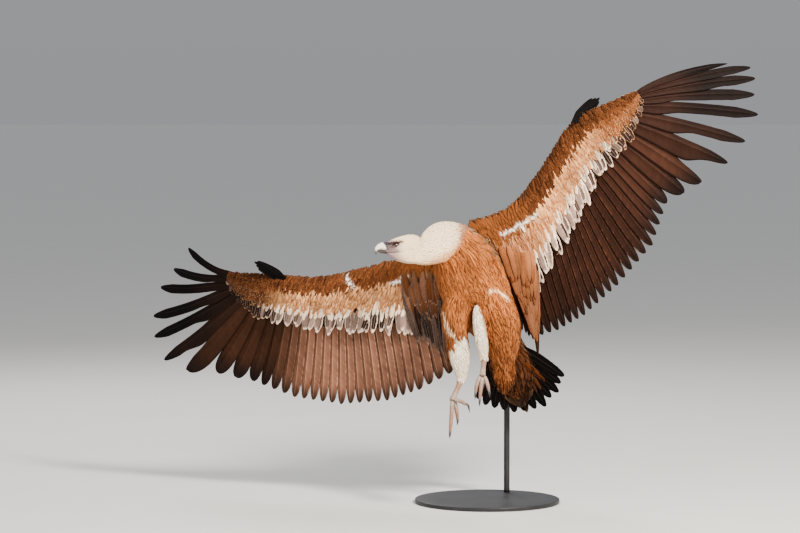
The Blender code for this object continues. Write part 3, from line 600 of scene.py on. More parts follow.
class Wire:
    # a number on a shader socket: + - * / ** with wires or numbers add Math nodes
    def __init__(self, finish, socket):
        self.finish, self.socket = finish, socket

    def math(self, operation, *values):
        return self.finish.math(operation, self, *values)

    def __add__(self, other):
        return self.math("ADD", other)

    def __sub__(self, other):
        return self.math("SUBTRACT", other)

    def __rsub__(self, other):
        return self.finish.math("SUBTRACT", other, self)

    def __mul__(self, other):
        return self.math("MULTIPLY", other)

    def __truediv__(self, other):
        return self.math("DIVIDE", other)

    def __pow__(self, other):
        return self.math("POWER", other)

    __radd__, __rmul__ = __add__, __mul__

    def step(self, low, high):
        # 0 below low, 1 above high, smooth between
        settings = {"interpolation_type": "SMOOTHSTEP"}
        return self.finish.node("ShaderNodeMapRange", settings, {"Value": self, "From Min": low, "From Max": high})


class Finish:
    # a material or a world: its shader's sockets, and the nodes that feed them
    def __init__(self, owner, shader="Principled BSDF", **fixed):
        owner.use_nodes = True
        self.tree = owner.node_tree
        self.shader = self.tree.nodes[shader]
        for socket, value in fixed.items():
            self.feed(socket.replace("_", " "), value)

    def feed(self, socket, value):
        self.plug(self.shader.inputs[socket], value)

    def plug(self, socket, value):
        if isinstance(value, Wire):
            self.tree.links.new(value.socket, socket)
        elif socket.type == "RGBA":
            socket.default_value = (*value, 1.0)
        else:
            socket.default_value = value

    def node(self, kind, settings=(), values=(), output=0):
        made = self.tree.nodes.new(kind)
        for name, value in dict(settings).items():
            setattr(made, name, value)
        for name, value in dict(values).items():
            self.plug(made.inputs[name], value)
        return Wire(self, made.outputs[output])

    def math(self, operation, *values):
        return self.node("ShaderNodeMath", {"operation": operation}, dict(enumerate(values)))

    def mix(self, share, low, high, blendType="MIX"):
        # colours through one Mix node
        settings = {"data_type": "RGBA", "blend_type": blendType, "clamp_result": False}
        return self.node("ShaderNodeMix", settings, {0: share, 6: low, 7: high}, 2)

    def attribute(self, name, output="Fac"):
        return self.node("ShaderNodeAttribute", {"attribute_name": name}, (), output)

    def place(self, output="Object"):
        return self.node("ShaderNodeTexCoord", (), (), output)

    def parts(self, vector):
        split = self.node("ShaderNodeSeparateXYZ", (), {0: vector}).socket.node
        return [Wire(self, output) for output in split.outputs]

    def vector(self, x, y, z):
        return self.node("ShaderNodeCombineXYZ", (), {0: x, 1: y, 2: z})

    def noise(self, scale, detail=3.0, where=None):
        values = {"Vector": where or self.place(), "Scale": scale, "Detail": detail}
        return self.node("ShaderNodeTexNoise", (), values)

    def bump(self, height, strength, distance):
        values = {"Height": height, "Strength": strength, "Distance": distance}
        self.feed("Normal", self.node("ShaderNodeBump", (), values))

    def shaded(self, colour, light):
        # the base colour, made lighter or darker by a number about 1
        self.feed("Base Color", self.mix(1.0, colour, self.vector(light, light, light), "MULTIPLY"))


def newFinish(name, roughness, **fixed):
    material = bpy.data.materials.new(name)
    return material, Finish(material, Roughness=roughness, **fixed)


def featherFinish(name, **changes):
    # vane colour, a rim near the edges and tip, a shaft line, and barbs that part in clumps
    look = dict(softLook, **changes)
    material, finish = newFinish(name, look["roughness"], Specular_IOR_Level=look["gloss"],
                                 Sheen_Weight=look["sheen"], Sheen_Roughness=0.5)
    across, along, metres = finish.parts(finish.attribute("vane", "Vector"))
    tone = finish.attribute("tone")
    edge = across.math("ABSOLUTE")
    slanted = metres - edge * look["barbSlant"]
    clump = finish.noise(1.0, 3.0, finish.vector(slanted * look["clumps"], tone * 37.0, across * 0.8))
    barbs = (slanted * look["barbs"] + tone * 9.0).math("SINE")
    mottle = finish.noise(look["mottleScale"], 4.0)
    reach = edge.math("MAXIMUM", along ** look["tipPower"]) + (clump - 0.5) * look["rimBreak"]
    rimStart = finish.attribute("vaneColour", "Alpha")
    rimShare = reach.step(rimStart, rimStart + look["rimWidth"]) * finish.attribute("rimColour", "Alpha")
    colour = finish.mix(rimShare.math("MINIMUM", 1.0), finish.attribute("vaneColour", "Color"),
                        finish.attribute("rimColour", "Color"))
    shaft = 1 - edge.step(look["shaftWidth"] * 0.3, look["shaftWidth"])
    shaft = shaft * finish.attribute("shaftColour", "Alpha") * (1 - along ** 4 * 0.6)
    colour = finish.mix(shaft.math("MINIMUM", 1.0), colour, finish.attribute("shaftColour", "Color"))
    finish.shaded(colour, 1.0 + (clump - 0.5) * look["clumpDepth"] + barbs * look["barbDepth"]
                  + (tone - 0.5) * look["toneDepth"] + (mottle - 0.5) * look["mottleDepth"])
    finish.bump(clump * 0.8 + barbs * 0.2 + shaft * look["shaftBump"], look["bump"], 0.0015)
    return material


softLook = {"roughness": 0.85, "gloss": 0.08, "sheen": 0.03, "barbSlant": 0.006, "clumps": 260.0,
            "barbs": 3600.0, "mottleScale": 9.0, "tipPower": 3.0, "rimBreak": 0.9, "rimWidth": 0.4,
            "shaftWidth": 0.3, "clumpDepth": 0.9, "barbDepth": 0.03, "toneDepth": 0.34,
            "mottleDepth": 1.3, "shaftBump": 0.5, "bump": 0.25}
contourFinish = featherFinish("contour feathers")
downFinish = featherFinish("white down", sheen=0.2, toneDepth=0.08, clumpDepth=0.2, mottleDepth=0.3, bump=0.1)
covertFinish = featherFinish("wing coverts", rimBreak=0.5, rimWidth=0.22, shaftWidth=0.14, clumpDepth=0.7)
quillFinish = featherFinish("flight feathers", roughness=0.6, gloss=0.12, sheen=0.0, barbSlant=0.022,
                            clumps=75.0, barbs=2400.0, tipPower=40.0, rimWidth=0.16, rimBreak=0.4,
                            shaftWidth=0.055, clumpDepth=0.8, toneDepth=0.22, mottleDepth=0.7, bump=0.35,
                            shaftBump=0.8)
print("feather finishes made")


def skinFinish():
    # the coat's own colours, scales on the feet, and broad and fine noise all over
    material, finish = newFinish("skin", 0.62, Specular_IOR_Level=0.35)
    scaly = finish.attribute("scaly")
    where = finish.place()
    scales = finish.node("ShaderNodeTexVoronoi", {"feature": "DISTANCE_TO_EDGE"}, {"Vector": where, "Scale": 260.0})
    groove = 1 - scales.step(0.0, 0.12)
    fine = finish.noise(420.0, 4.0, where)
    broad = finish.noise(60.0, 3.0, where)
    finish.shaded(finish.attribute("skinColour", "Color"),
                  1.0 + (broad - 0.5) * 0.5 + (fine - 0.5) * 0.22 - groove * scaly * 0.38)
    finish.bump(fine * 0.5 + (1 - groove) * scaly + broad * 0.4, 0.5, 0.0012)
    return material


skinMaterial = skinFinish()

colours = {name: paint(*parts) for name, parts in {
    "tawny": (172, 107, 64), "rust": (124, 70, 39), "streak": (222, 164, 112), "covert": (112, 68, 42),
    "covertDeep": (54, 30, 18), "covertEdge": (164, 108, 68), "sand": (180, 146, 112),
    "sandBrown": (164, 130, 100), "umber": (76, 50, 35), "cream": (254, 228, 192), "down": (255, 230, 192),
    "lilac": (174, 146, 148), "lore": (52, 32, 32), "white": (254, 246, 232), "buff": (226, 168, 118),
    "whiteLine": (240, 216, 190), "greyWhite": (186, 158, 142), "slate": (44, 31, 28), "black": (10, 8, 8),
    "brownBlack": (30, 20, 17), "sheen": (48, 30, 23), "foot": (168, 148, 136), "toe": (156, 122, 104),
    "pinkTawny": (154, 108, 80),
}.items()}

skinPlan = {"voxel": 0.006, "headRows": 110, "headAround": 150}


# soft mounds and hollows on both sides of the head: ahead, up, length, height, rise
headMounds = mm((40, 34.5, 22, 6, 3.6), (58, 30, 12, 5, 1.8), (64, 12, 10, 8, -2.2), (40, 4, 16, 6, 1.6),
                (22, 12, 7, 12, -1.2), (-4, -4, 6, 8, -2.6), (50, -7.5, 30, 2.2, -1.8), (30, -24, 30, 10, 1.2),
                (-30, 20, 20, 20, 2))


def headBump(points):
    # the sum of rise * exp(-(distance along / length)^2 - (distance up / height)^2)
    away = points - headMiddle
    sideways = smoothstep(0.004, 0.012, np.abs(away @ headSide))
    return sum(rise * np.exp(-((away @ headAhead - ahead) / length) ** 2 - ((away @ headUp - up) / height) ** 2)
               * sideways for ahead, up, length, height, rise in headMounds)


def tubeRings(at, rows, around, inset=0.0):
    place = np.linspace(0, 1, rows)[:, None] * np.ones(around)
    turns = np.ones((rows, 1)) * (np.arange(around) / around)
    return tubePoint(at, place, turns, inset), place


def addTube(name, at, rows, around, inset=0.0, material=None):
    return addLoft(name, tubeRings(at, rows, around, inset)[0], material)


def circle(around):
    turns = np.arange(around) / around * 2 * math.pi
    return np.cos(turns), np.sin(turns)


armPlan = {"rows": 60, "around": 28, "toSpan": 0.985, "fromChord": 0.03, "chord": 0.6, "thinnest": 0.0012}


def addWingArm(name, wing):
    # the arm under the coverts: a loft of the wing's section that ends before its thin edge
    rows, around = armPlan["rows"], armPlan["around"]
    span = np.linspace(0, armPlan["toSpan"], rows)[:, None] * np.ones(around)
    angle = np.ones((rows, 1)) * (np.arange(around) + 0.5) / around * 2 * math.pi
    chord = armPlan["fromChord"] + armPlan["chord"] * (1 - np.cos(angle)) / 2
    side = np.where(np.sin(angle) > 0, 1.0, -1.0)
    lead, trail, thickness, dorsal = wingRow(wing, span)
    share = np.where(side > 0, wingShape["backShare"], 1 - wingShape["backShare"])
    lift = thickness * np.sin(math.pi * chord**0.55) * share - wingShape["coat"]
    lift = np.maximum(lift, armPlan["thinnest"]) * np.abs(np.sin(angle)) ** 0.5
    return addLoft(name, lead + (trail - lead) * chord[..., None] + dorsal * (side * lift)[..., None])


def takeShape(piece, name):
    # a piece with its modifiers applied, as a plain mesh
    graph = bpy.context.evaluated_depsgraph_get()
    mesh = bpy.data.meshes.new_from_object(piece.evaluated_get(graph))
    mesh.name = name
    return mesh


def joined(pieces):
    # several closed meshes as one object, the first
    with bpy.context.temp_override(active_object=pieces[0], selected_editable_objects=pieces):
        bpy.ops.object.join()
    return pieces[0]


def eyePlaceOf(toLeft):
    reach, apart, height = eyePlan["place"]
    return headMiddle + headAhead * reach + headSide * apart * toLeft + headUp * height


def gazeOf(toLeft):
    return unit(headSide * toLeft * 0.94 + headAhead * 0.34 + headUp * 0.02)


def wayOff(gaze, level, upward, angle, around):
    # gaze * cos(angle) + (level * cos(turn) + upward * sin(turn)) * sin(angle)
    across, up = (part[:, None] for part in circle(around))
    return gaze * np.cos(angle)[..., None] + (level * across + upward * up)[None] * np.sin(angle)[..., None]


lidPlan = {"around": 72, "steps": 22, "halfWide": 44.0, "above": 24.0, "below": 30.0, "back": 62,
           "inner": 0.0002, "outer": 0.0022, "rim": 0.0006}


def addLids(name, toLeft):
    # a shell round the eye with an almond opening: the section runs from inside, round the
    # lid's edge at angle a(turn) off the gaze, and back outside; a is wide ahead and behind
    gaze = gazeOf(toLeft)
    level = unit(headAhead - gaze * (headAhead @ gaze))
    upward = np.cross(gaze, level)
    upward = upward * np.sign(upward @ headUp)
    around, steps, wide = lidPlan["around"], lidPlan["steps"], lidPlan["halfWide"]
    across, up = circle(around)
    tall = np.where(up > 0, lidPlan["above"], lidPlan["below"])
    opening = np.radians(wide * tall / np.hypot(tall * across, wide * up))
    place = np.linspace(0, 1, steps)
    # radius above the eye and angle past the lid's edge, along the section
    lift = lidPlan["inner"] + (lidPlan["outer"] - lidPlan["inner"]) * smoothstep(0.35, 0.65, place)
    lift = lift + lidPlan["rim"] * np.exp(-((place - 0.66) / 0.08) ** 2)
    past = np.abs(place - 0.5) / 0.5 * math.radians(lidPlan["back"]) + np.where(place > 0.5, 0, math.radians(1))
    way = wayOff(gaze, level, upward, opening[None, :] + past[:, None], around)
    rings = eyePlaceOf(toLeft) + way * (eyePlan["radius"] + lift)[:, None, None]
    row, k = np.meshgrid(np.arange(around), np.arange(steps), indexing="ij")
    after, onward = (k + 1) % steps, (row + 1) % around
    faces = np.stack([row * steps + k, row * steps + after, onward * steps + after, onward * steps + k], -1)
    # each ring is now one section of the shell
    return turnOutward(addMesh(name, rings.transpose(1, 0, 2), faces.reshape(-1, 4).tolist()))


def toeFrame(joints, radii):
    return limbFrame(np.column_stack([joints, radii, radii]))


def addToe(name, joints):
    # a tapered tube: scutes ripple its upper side, and pads swell under its joints
    at = toeFrame(joints, toeSize["radii"])
    rings, place = tubeRings(at, 44, 22)
    middle = at(place)[0]
    outward = rings - middle
    below = np.clip(-outward @ np.array([0.0, -1.0, 0.0]) / 0.006, 0, 1)
    scutes = 0.035 * np.abs(np.sin(place * math.pi * 9)) * (1 - below)
    pads = 0.16 * np.sin(place * math.pi * 2.5) ** 2 * below
    rounding = np.sqrt(np.clip(1 - ((place - 0.5) / 0.5) ** 8, 0, 1)) * 0.45 + 0.55
    return addLoft(name, middle + outward * ((1 + scutes + pads) * rounding)[..., None])


def makeSkin():
    body = joined([addTube("trunkPart", trunkTube, 50, 60, trunkPlan["coat"]),
                   addTube("tailPart", tailTube, 30, 40, tailCovertPlan["coat"]),
                   addTube("neckPart", neckTube, 40, 48, neckPlan["coat"])]
                  + [part for side in sides for part in (
                      addTube(f"thighPart{side}", limbFrame(thighPlans[side]), 40, 40, 0.007),
                      addTube(f"shankPart{side}", limbFrame(shankPlans[side]), 40, 32, 0.0035),
                      addWingArm(f"armPart{side}", wingPlans[side]))])
    remesh = body.modifiers.new("one surface", "REMESH")
    remesh.mode, remesh.voxel_size = "VOXEL", skinPlan["voxel"]
    smooth = body.modifiers.new("even", "SMOOTH")
    smooth.factor, smooth.iterations = 0.5, 2
    body.data = takeShape(body, "skinBody")
    body.modifiers.clear()

    rings = tubeRings(headFrame, skinPlan["headRows"], skinPlan["headAround"], headPlan["coat"])[0]
    outward = unit(rings - rings.mean(1, keepdims=True))
    parts = [addLoft("headPart", rings + outward * headBump(rings)[..., None])]
    for side, toLeft in sides.items():
        parts.append(addLids(f"lidPart{side}", toLeft))
        plan = footPlans[side]
        parts.append(addTube(f"shinPart{side}", limbFrame([(*row, row[3]) for row in plan["shin"]]), 50, 28))
        parts += [addToe(f"toePart{side}{toe}", plan[toe][:3]) for toe in toeNames]
    for part in parts:
        union = body.modifiers.new(part.name, "BOOLEAN")
        union.operation, union.solver, union.object = "UNION", "MANIFOLD", part
    mesh = takeShape(body, "skin")
    for part in (*parts, body):
        bpy.data.objects.remove(part)
    mesh.polygons.foreach_set("use_smooth", [True] * len(mesh.polygons))
    mesh.materials.clear()
    mesh.materials.append(skinMaterial)
    return linked("skin", mesh)


skin = makeSkin()
print("skin made:", len(skin.data.polygons), "faces")

rootsSeen, coloursSeen = [], []        # where each feather starts and its colour, for the skin


def dress(lay, vane, rim, rimShare, shaft, shaftShare, rimStart=0.6):
    # Each colour is one for all, one for each feather, or one for each point along each. The
    # vane colour's fourth number is where the rim starts, from the shaft out.
    shape = lay["spine"].shape
    for key, colour, strength in (("vaneColour", vane, rimStart), ("rimColour", rim, rimShare),
                                  ("shaftColour", shaft, shaftShare)):
        colour, strength = tint(colour), np.asarray(strength)
        colour = colour[:, None] if colour.ndim == 2 else colour
        strength = strength[:, None] if strength.ndim == 1 else strength
        lay[key] = asColour(np.broadcast_to(colour, shape), np.broadcast_to(strength, shape[:2]))
    rootsSeen.append(lay["spine"][:, 1])
    coloursSeen.append(lay["vaneColour"][:, 1, :3])
    return lay


def coatPlan(**own):
    # metres: rowStep and step lie between roots, depth is the coat's over the skin; length and
    # width run against the place along the body, where feathers start from first to last; roots
    # that lie deeper than deepest in the skin are left out
    return {"first": 0.03, "last": 0.92, "turns": (0, 1), "leave": 0.86, "straight": 0.0, "ragged": 0.06,
            "deepest": 0.018, **own}


coatPlans = {
    "belly": coatPlan(rowStep=0.0095, step=0.0062, rows=9, length=([0, 0.2, 0.6, 1], [0.044, 0.062, 0.078, 0.084]),
                      width=([0, 1], [0.011, 0.014]), outline=(0.4, 1.9), height=(-0.003, 0.0002), loose=0.0014,
                      swirl=0.016, stray=0.09, turns=(0.49, 1.01), depth=0.008, camber=0.05, thickness=0.0003),
    "ruff": coatPlan(rowStep=0.007, step=0.0045, rows=8, length=([0, 1], [0.05, 0.04]),
                     width=([0, 1], [0.007, 0.006]), outline=(0.35, 1.6), height=(-0.002, 0.005), loose=0.007,
                     swirl=0.03, stray=0.16, turns=(0.22, 0.5), first=0.02, last=0.17, depth=0.008, camber=0.08,
                     thickness=0.0003, ragged=0.1),
    "back": coatPlan(rowStep=0.015, step=0.0145, rows=7, length=([0, 0.2, 0.6, 1], [0.042, 0.066, 0.08, 0.085]),
                     width=([0, 1], [0.026, 0.034]), outline=(0.4, 4.0), height=(-0.004, 0.0014), loose=0.002,
                     swirl=0.008, stray=0.03, turns=(-0.02, 0.52), depth=0.008, camber=0.1, thickness=0.0005),
    "neck": coatPlan(rowStep=0.0036, step=0.0029, rows=5, length=([0, 1], [0.014, 0.022]),
                     width=([0, 1], [0.006, 0.0078]), outline=(0.35, 2.4), height=(-0.0012, 0.0002), loose=0.0006,
                     swirl=0.02, stray=0.06, first=0.0, last=0.985, leave=0.97, depth=0.003, camber=0.05,
                     thickness=0.0002, ragged=0.1, deepest=0.01),
    "head": coatPlan(rowStep=0.0019, step=0.0016, rows=4, length=([0, 0.3, 1], [0.0032, 0.0056, 0.01]),
                     width=([0, 0.3, 1], [0.0019, 0.0029, 0.0044]), outline=(0.35, 2.4), height=(-0.0007, 0.0001),
                     loose=0.0002, swirl=0.01, stray=0.05, first=0.04, last=0.95, leave=0.95, depth=0.0012,
                     camber=0.05, thickness=0.00014, deepest=0.006),
    "thigh": coatPlan(rowStep=0.0092, step=0.0064, rows=8, length=([0, 0.5, 1], [0.044, 0.068, 0.082]),
                      width=([0, 1], [0.0125, 0.0105]), outline=(0.4, 1.9), height=(-0.003, 0.0006), loose=0.0034,
                      swirl=0.03, stray=0.12, leave=0.78, straight=0.85, depth=0.007, camber=0.05,
                      thickness=0.0003, ragged=0.08, deepest=0.014),
    "shank": coatPlan(rowStep=0.0046, step=0.0032, rows=6, length=([0, 1], [0.03, 0.02]),
                      width=([0, 1], [0.0054, 0.0044]), outline=(0.35, 1.8), height=(-0.0014, 0.0006), loose=0.004,
                      swirl=0.03, stray=0.14, leave=0.92, straight=0.6, depth=0.0035, camber=0.04,
                      thickness=0.0002, ragged=0.1, deepest=0.008),
    "underTail": coatPlan(rowStep=0.013, step=0.01, rows=8, length=([0, 0.5, 1], [0.07, 0.092, 0.105]),
                          width=([0, 1], [0.019, 0.022]), outline=(0.4, 2.6), height=(-0.003, 0.002), loose=0.006,
                          swirl=0.012, stray=0.06, turns=(0.48, 1.02), leave=0.75, last=0.88, depth=0.004,
                          camber=0.08, thickness=0.0004, ragged=0.1, deepest=0.015),
    "upperTail": coatPlan(rowStep=0.018, step=0.016, rows=8, length=([0, 1], [0.075, 0.085]),
                          width=([0, 1], [0.034, 0.036]), outline=(0.4, 4.0), height=(-0.003, 0.003), loose=0.003,
                          swirl=0.006, stray=0.02, turns=(-0.02, 0.52), leave=0.75, last=0.9, depth=0.004,
                          camber=0.1, thickness=0.0005, deepest=0.015),
}


def shownOnBody(at, name, dice):
    # laid on a tube, and thinned to what shows
    plan = coatPlans[name]
    return keepShown(layOnTube(at, plan, dice), plan["deepest"])


def layOnBody(at, name, dice):
    return drape(shownOnBody(at, name, dice))


# pale marks, given by the x and z of their two ends: across the small underwing coverts, at the
# top of the left thigh and down the right flank
paleStreaks = mm((-496, 41, -466, -6), (-337, 15, -266, 48), (78, 203, 196, 273), (150, 245, 181, 163),
                 (196, 273, 225, 300))
bodyStreaks = mm((30, 0, 60, 4), (60, 4, 104, -30), (-138, -85, -118, -150), (-118, -140, -86, -180))


def streakShare(points, streaks, width=0.0052):
    # 1 on a streak's line, fading out over its width
    share = np.zeros(points.shape[:-1])
    flat = points[..., (0, 2)]
    for streak in streaks:
        start, run = streak[:2], streak[2:] - streak[:2]
        along = np.clip(((flat - start) @ run) / np.sum(run**2), 0, 1)
        away = np.linalg.norm(flat - start - along[..., None] * run, axis=-1)
        share = np.maximum(share, 0.95 * np.exp(-(away / width) ** 2))
    return share


def collarShare(points, dice):
    # 1 up the neck and 0 on the body, by how far ahead a place is along the spine, and 0 beside
    # the left shoulder
    ragged = dice.normal(0, 0.006, len(points))[:, None]
    aside = smoothstep(-0.066, -0.092, points[..., 0] + ragged)
    return smoothstep(0.202, 0.236, points @ aheadWay + ragged) * aside


def tawnyDress(lay, dice, darker=0.0, lowShade=0.5):
    # tawny and rust feathers with pale middles, darker low down as painted shade, pale where a mark crosses them
    count = len(lay["tone"])
    share = dice.normal(0.25 + darker, 0.3, count) + 0.3 * patchy(lay["spine"][:, 3], 22.0, 2.0)
    vane = blend("tawny", "rust", np.clip(share, 0, 1))
    # painted shade: umber over the lower body, which also dims the rims and shafts there
    low = smoothstep(0.0, -0.24, lay["spine"][:, 3, 2]) * lowShade
    rear = smoothstep(-0.26, -0.36, lay["spine"][:, 3] @ aheadWay)
    vane = blend(vane, "umber", low)
    vane = blend(vane, "brownBlack", rear * dice.uniform(0.3, 1.0, count))[:, None]
    pale = streakShare(lay["spine"] + dice.normal(0, 0.003, (count, 1, 3)), bodyStreaks, 0.004)
    vane = blend(vane, "cream", np.maximum(pale, 0.8 * collarShare(lay["spine"], dice)))
    rim = blend("rust", "tawny", dice.uniform(0.3, 1.0, count) * (1 - low))
    shaft = blend("streak", "rust", low)
    return dress(lay, vane, rim, 0.35, shaft, dice.uniform(0.0, 0.6, count) ** 1.3, 0.6)


def backDress(lay, dice):
    count = len(lay["tone"])
    vane = blend(colours["sandBrown"] * 0.8, "umber", np.clip(dice.normal(0.45, 0.25, count), 0, 1))
    rear = smoothstep(-0.24, -0.34, lay["spine"][:, 3] @ aheadWay)
    vane = blend(vane, "brownBlack", 0.6 * rear)
    vane = blend(vane[:, None], "down", 0.7 * collarShare(lay["spine"], dice))
    return dress(lay, vane, "sand", 0.55 * (1 - 0.85 * rear), "sand", 0.25 * (1 - rear), 0.7)


def ruffDress(lay, dice):
    shade = blend("down", "streak", dice.uniform(0, 0.7, len(lay["tone"])))
    return dress(lay, shade, "white", 0.4, "cream", 0.3)


def bothLegs(plans, name, dice, colour):
    # the two legs' coats as one, each on its own half of the OFBake map
    legs = []
    for side in sides:
        lay = layOnBody(limbFrame(plans[side]), name, dice)
        lay["rootPlace"] = lay["rootPlace"] * (0.48, 1) + (0.5 * (side == "right"), 0)
        legs.append(colour(lay, side))
    return joinLays(legs)


# how a coat's feathers are cut, their finish and their material slot
tawnyCoat = ("contour", contourFinish, "tawny_plumage")
whiteCoat = ("tuft", downFinish, "white_down")
wingCoat = ("covert", covertFinish, "wing_coverts")
quillCoat = ("quill", quillFinish, "dark_quills")


def makeBodyCoats():
    dice = np.random.default_rng(11)
    addFeathers("coat_belly", tawnyDress(layOnBody(trunkTube, "belly", dice), dice, 0.0, 0.7), *tawnyCoat)
    addFeathers("coat_back", backDress(layOnBody(trunkTube, "back", dice), dice), *tawnyCoat)
    under, upper = (layOnBody(tailTube, name, dice) for name in ("underTail", "upperTail"))
    addFeathers("coat_tail_coverts", joinLays([tawnyDress(under, dice, 0.3, 0.8), backDress(upper, dice)]),
                *tawnyCoat)
    ruff = layOnBody(trunkTube, "ruff", dice)
    ruff = ruffDress(keepWhere(ruff, ruff["spine"][:, -1, 0] < -0.05), dice)
    addFeathers("coat_ruff", ruff, "contour", downFinish, "white_down")
    thighs = bothLegs(thighPlans, "thigh", dice, lambda lay, side: tawnyDress(lay, dice, 0.1, 0.4))
    addFeathers("coat_thighs", thighs, *tawnyCoat)


def makeDown():
    dice = np.random.default_rng(23)
    # the neck's coat starts as thin as the head's
    neck = shownOnBody(neckTube, "neck", dice)
    away = np.linalg.norm(neck["spine"] - headMiddle, axis=2)
    neck["depth"] = headPlan["coat"] + (neckPlan["coat"] - headPlan["coat"]) * smoothstep(0.055, 0.1, away)
    neck = drape(neck)
    shade = blend("down", "cream", dice.random(len(neck["tone"])))
    brown = 1 - collarShare(neck["spine"], dice)
    beside = smoothstep(-0.1, -0.07, neck["spine"][..., 0])
    shade = blend(shade[:, None], blend("streak", "tawny", beside), brown)
    addFeathers("coat_neck", dress(neck, shade, "cream", 0.2, "cream", 0.1), *whiteCoat)

    def shankDress(lay, side):
        # white, with the tawny of the thigh down the left leg's outer side
        shade = blend("white", colours["cream"] * 0.86, dice.random(len(lay["tone"])))
        if side == "left":
            beside = lay["spine"][..., 0] + 0.0074 + 0.28 * (lay["spine"][..., 2] + 0.0557)
            beside = beside + dice.normal(0, 0.004, len(beside))[:, None]
            shade = blend(shade[:, None], "tawny", smoothstep(-0.003, 0.004, beside))
        return dress(lay, shade, "white", 0.3, "cream", 0.1)

    addFeathers("coat_shanks", bothLegs(shankPlans, "shank", dice, shankDress), *whiteCoat)
    head = layOnBody(headFrame, "head", dice)
    head = dress(head, headColour(head["spine"][:, 0]), "white", 0.15, "cream", 0.0)
    for toLeft in sides.values():
        away = np.linalg.norm(head["spine"][:, 1] - eyePlaceOf(toLeft), axis=1)
        head = keepWhere(head, away > eyePlan["radius"] * 1.26)
    addFeathers("coat_head", head, *whiteCoat)


def headColour(points):
    # cream at the back and on the crown, lilac-grey towards the face, partly the face's own colour and partly painted
    # shade; dark about the lores and the gape, with a painted shadow along the brow
    away = points - headMiddle
    ahead, up = away @ headAhead, away @ headUp
    crown = 1 - smoothstep(0.03, 0.042, up)
    colour = blend("down", "lilac", smoothstep(0.012, 0.06, ahead) * 0.95 * crown)
    lore = np.exp(-((ahead - 0.064) / 0.02) ** 2 - ((up - 0.015) / 0.013) ** 2)
    # painted shadow: a dark band along the brow, over the top of the eye
    browShadowUp = 0.0275 - 0.1 * (ahead - 0.045)
    browShadow = smoothstep(0.014, 0.026, ahead) * np.exp(-((up - browShadowUp) / 0.005) ** 2)
    gape = smoothstep(0.026, 0.045, ahead) * np.exp(-((up + 0.004) / 0.0034) ** 2)
    return blend(colour, "lore", np.clip(lore * 0.6 + browShadow * 0.95 + gape * 0.5, 0, 1))


makeBodyCoats()
makeDown()
print("body coats laid")

# The two wings are lit and shaded copies of one plumage: the right wing's quills are paler and pinker with a painted
# highlight, the left wing's darker with painted shade.
wingLook = {side: {name: paint(*parts) for name, parts in look.items()} for side, look in {
    "right": {"secondary": (130, 92, 74), "secondaryEdge": (200, 160, 134), "dark": (30, 20, 18),
              "primary": (12, 8, 7), "primarySheen": (36, 22, 16), "middle": (64, 40, 26),
              "shaft": (208, 176, 150)},
    "left": {"secondary": (50, 29, 20), "secondaryEdge": (104, 66, 46), "dark": (22, 14, 12),
             "primary": (20, 12, 10), "primarySheen": (46, 28, 22), "middle": (62, 38, 28),
             "shaft": (96, 66, 50)},
}.items()}
quillPlan = {"rows": 34, "fingerHalf": 0.021, "secondaryHalf": 0.014, "taper": 2.6, "innerShare": 1.6,
             "outerShare": 0.86, "tipPower": 9, "fingerPower": 4.5, "tilt": 0.0022, "handShare": 0.4,
             "thickShaft": 0.0024, "thinShaft": 0.0005}


def feather(spine, up, half, tone, **rest):
    # a lay of feathers that are as wide on either side of the shaft
    half = np.broadcast_to(half, spine.shape[:2])
    return {"spine": spine, "up": np.broadcast_to(up, spine.shape), "left": half, "right": half, "tone": tone,
            "rootPlace": None, **rest}


def fanOf(wing):
    # every quill of a wing, outermost first: root, tip and bow, and where it leaves its neighbour
    primaries, secondaries = quillCounts["primaries"], quillCounts["secondaries"]
    numbers = np.arange(primaries + secondaries)
    hand = quillPlan["handShare"]
    spots = np.where(numbers < primaries, hand * numbers / (primaries - 0.5),
                     hand + (1 - hand) * (numbers - primaries + 0.5) / (secondaries - 0.5))
    tips = np.column_stack([np.interp(numbers, tipNumbers, column) for column in wing["tips"].T])
    fade = np.clip(1 - numbers / (primaries + 2.0), 0, 1)[:, None]
    fingers = quillPlan["fingerHalf"] * np.clip(0.68 + 0.12 * numbers[:primaries], 0, 1)
    return {"roots": smoothRows(wing["roots"], spots), "tips": tips,
            "bows": wing["outerBow"] * fade + wing["innerBow"] * (1 - fade),
            "splits": np.array([*wing["splits"], 0.9] + [0.93] * secondaries),
            "halves": np.append(fingers, np.full(secondaries, quillPlan["secondaryHalf"]))}


def shaftsOf(fan, places):
    # (1 - t)^2 * root + 2 t (1 - t) * control + t^2 * tip
    part = np.asarray(places)[None, :, None]
    controls = (fan["roots"] + fan["tips"]) / 2 + fan["bows"]
    return ((1 - part) ** 2 * fan["roots"][:, None] + 2 * part * (1 - part) * controls[:, None]
            + part**2 * fan["tips"][:, None])


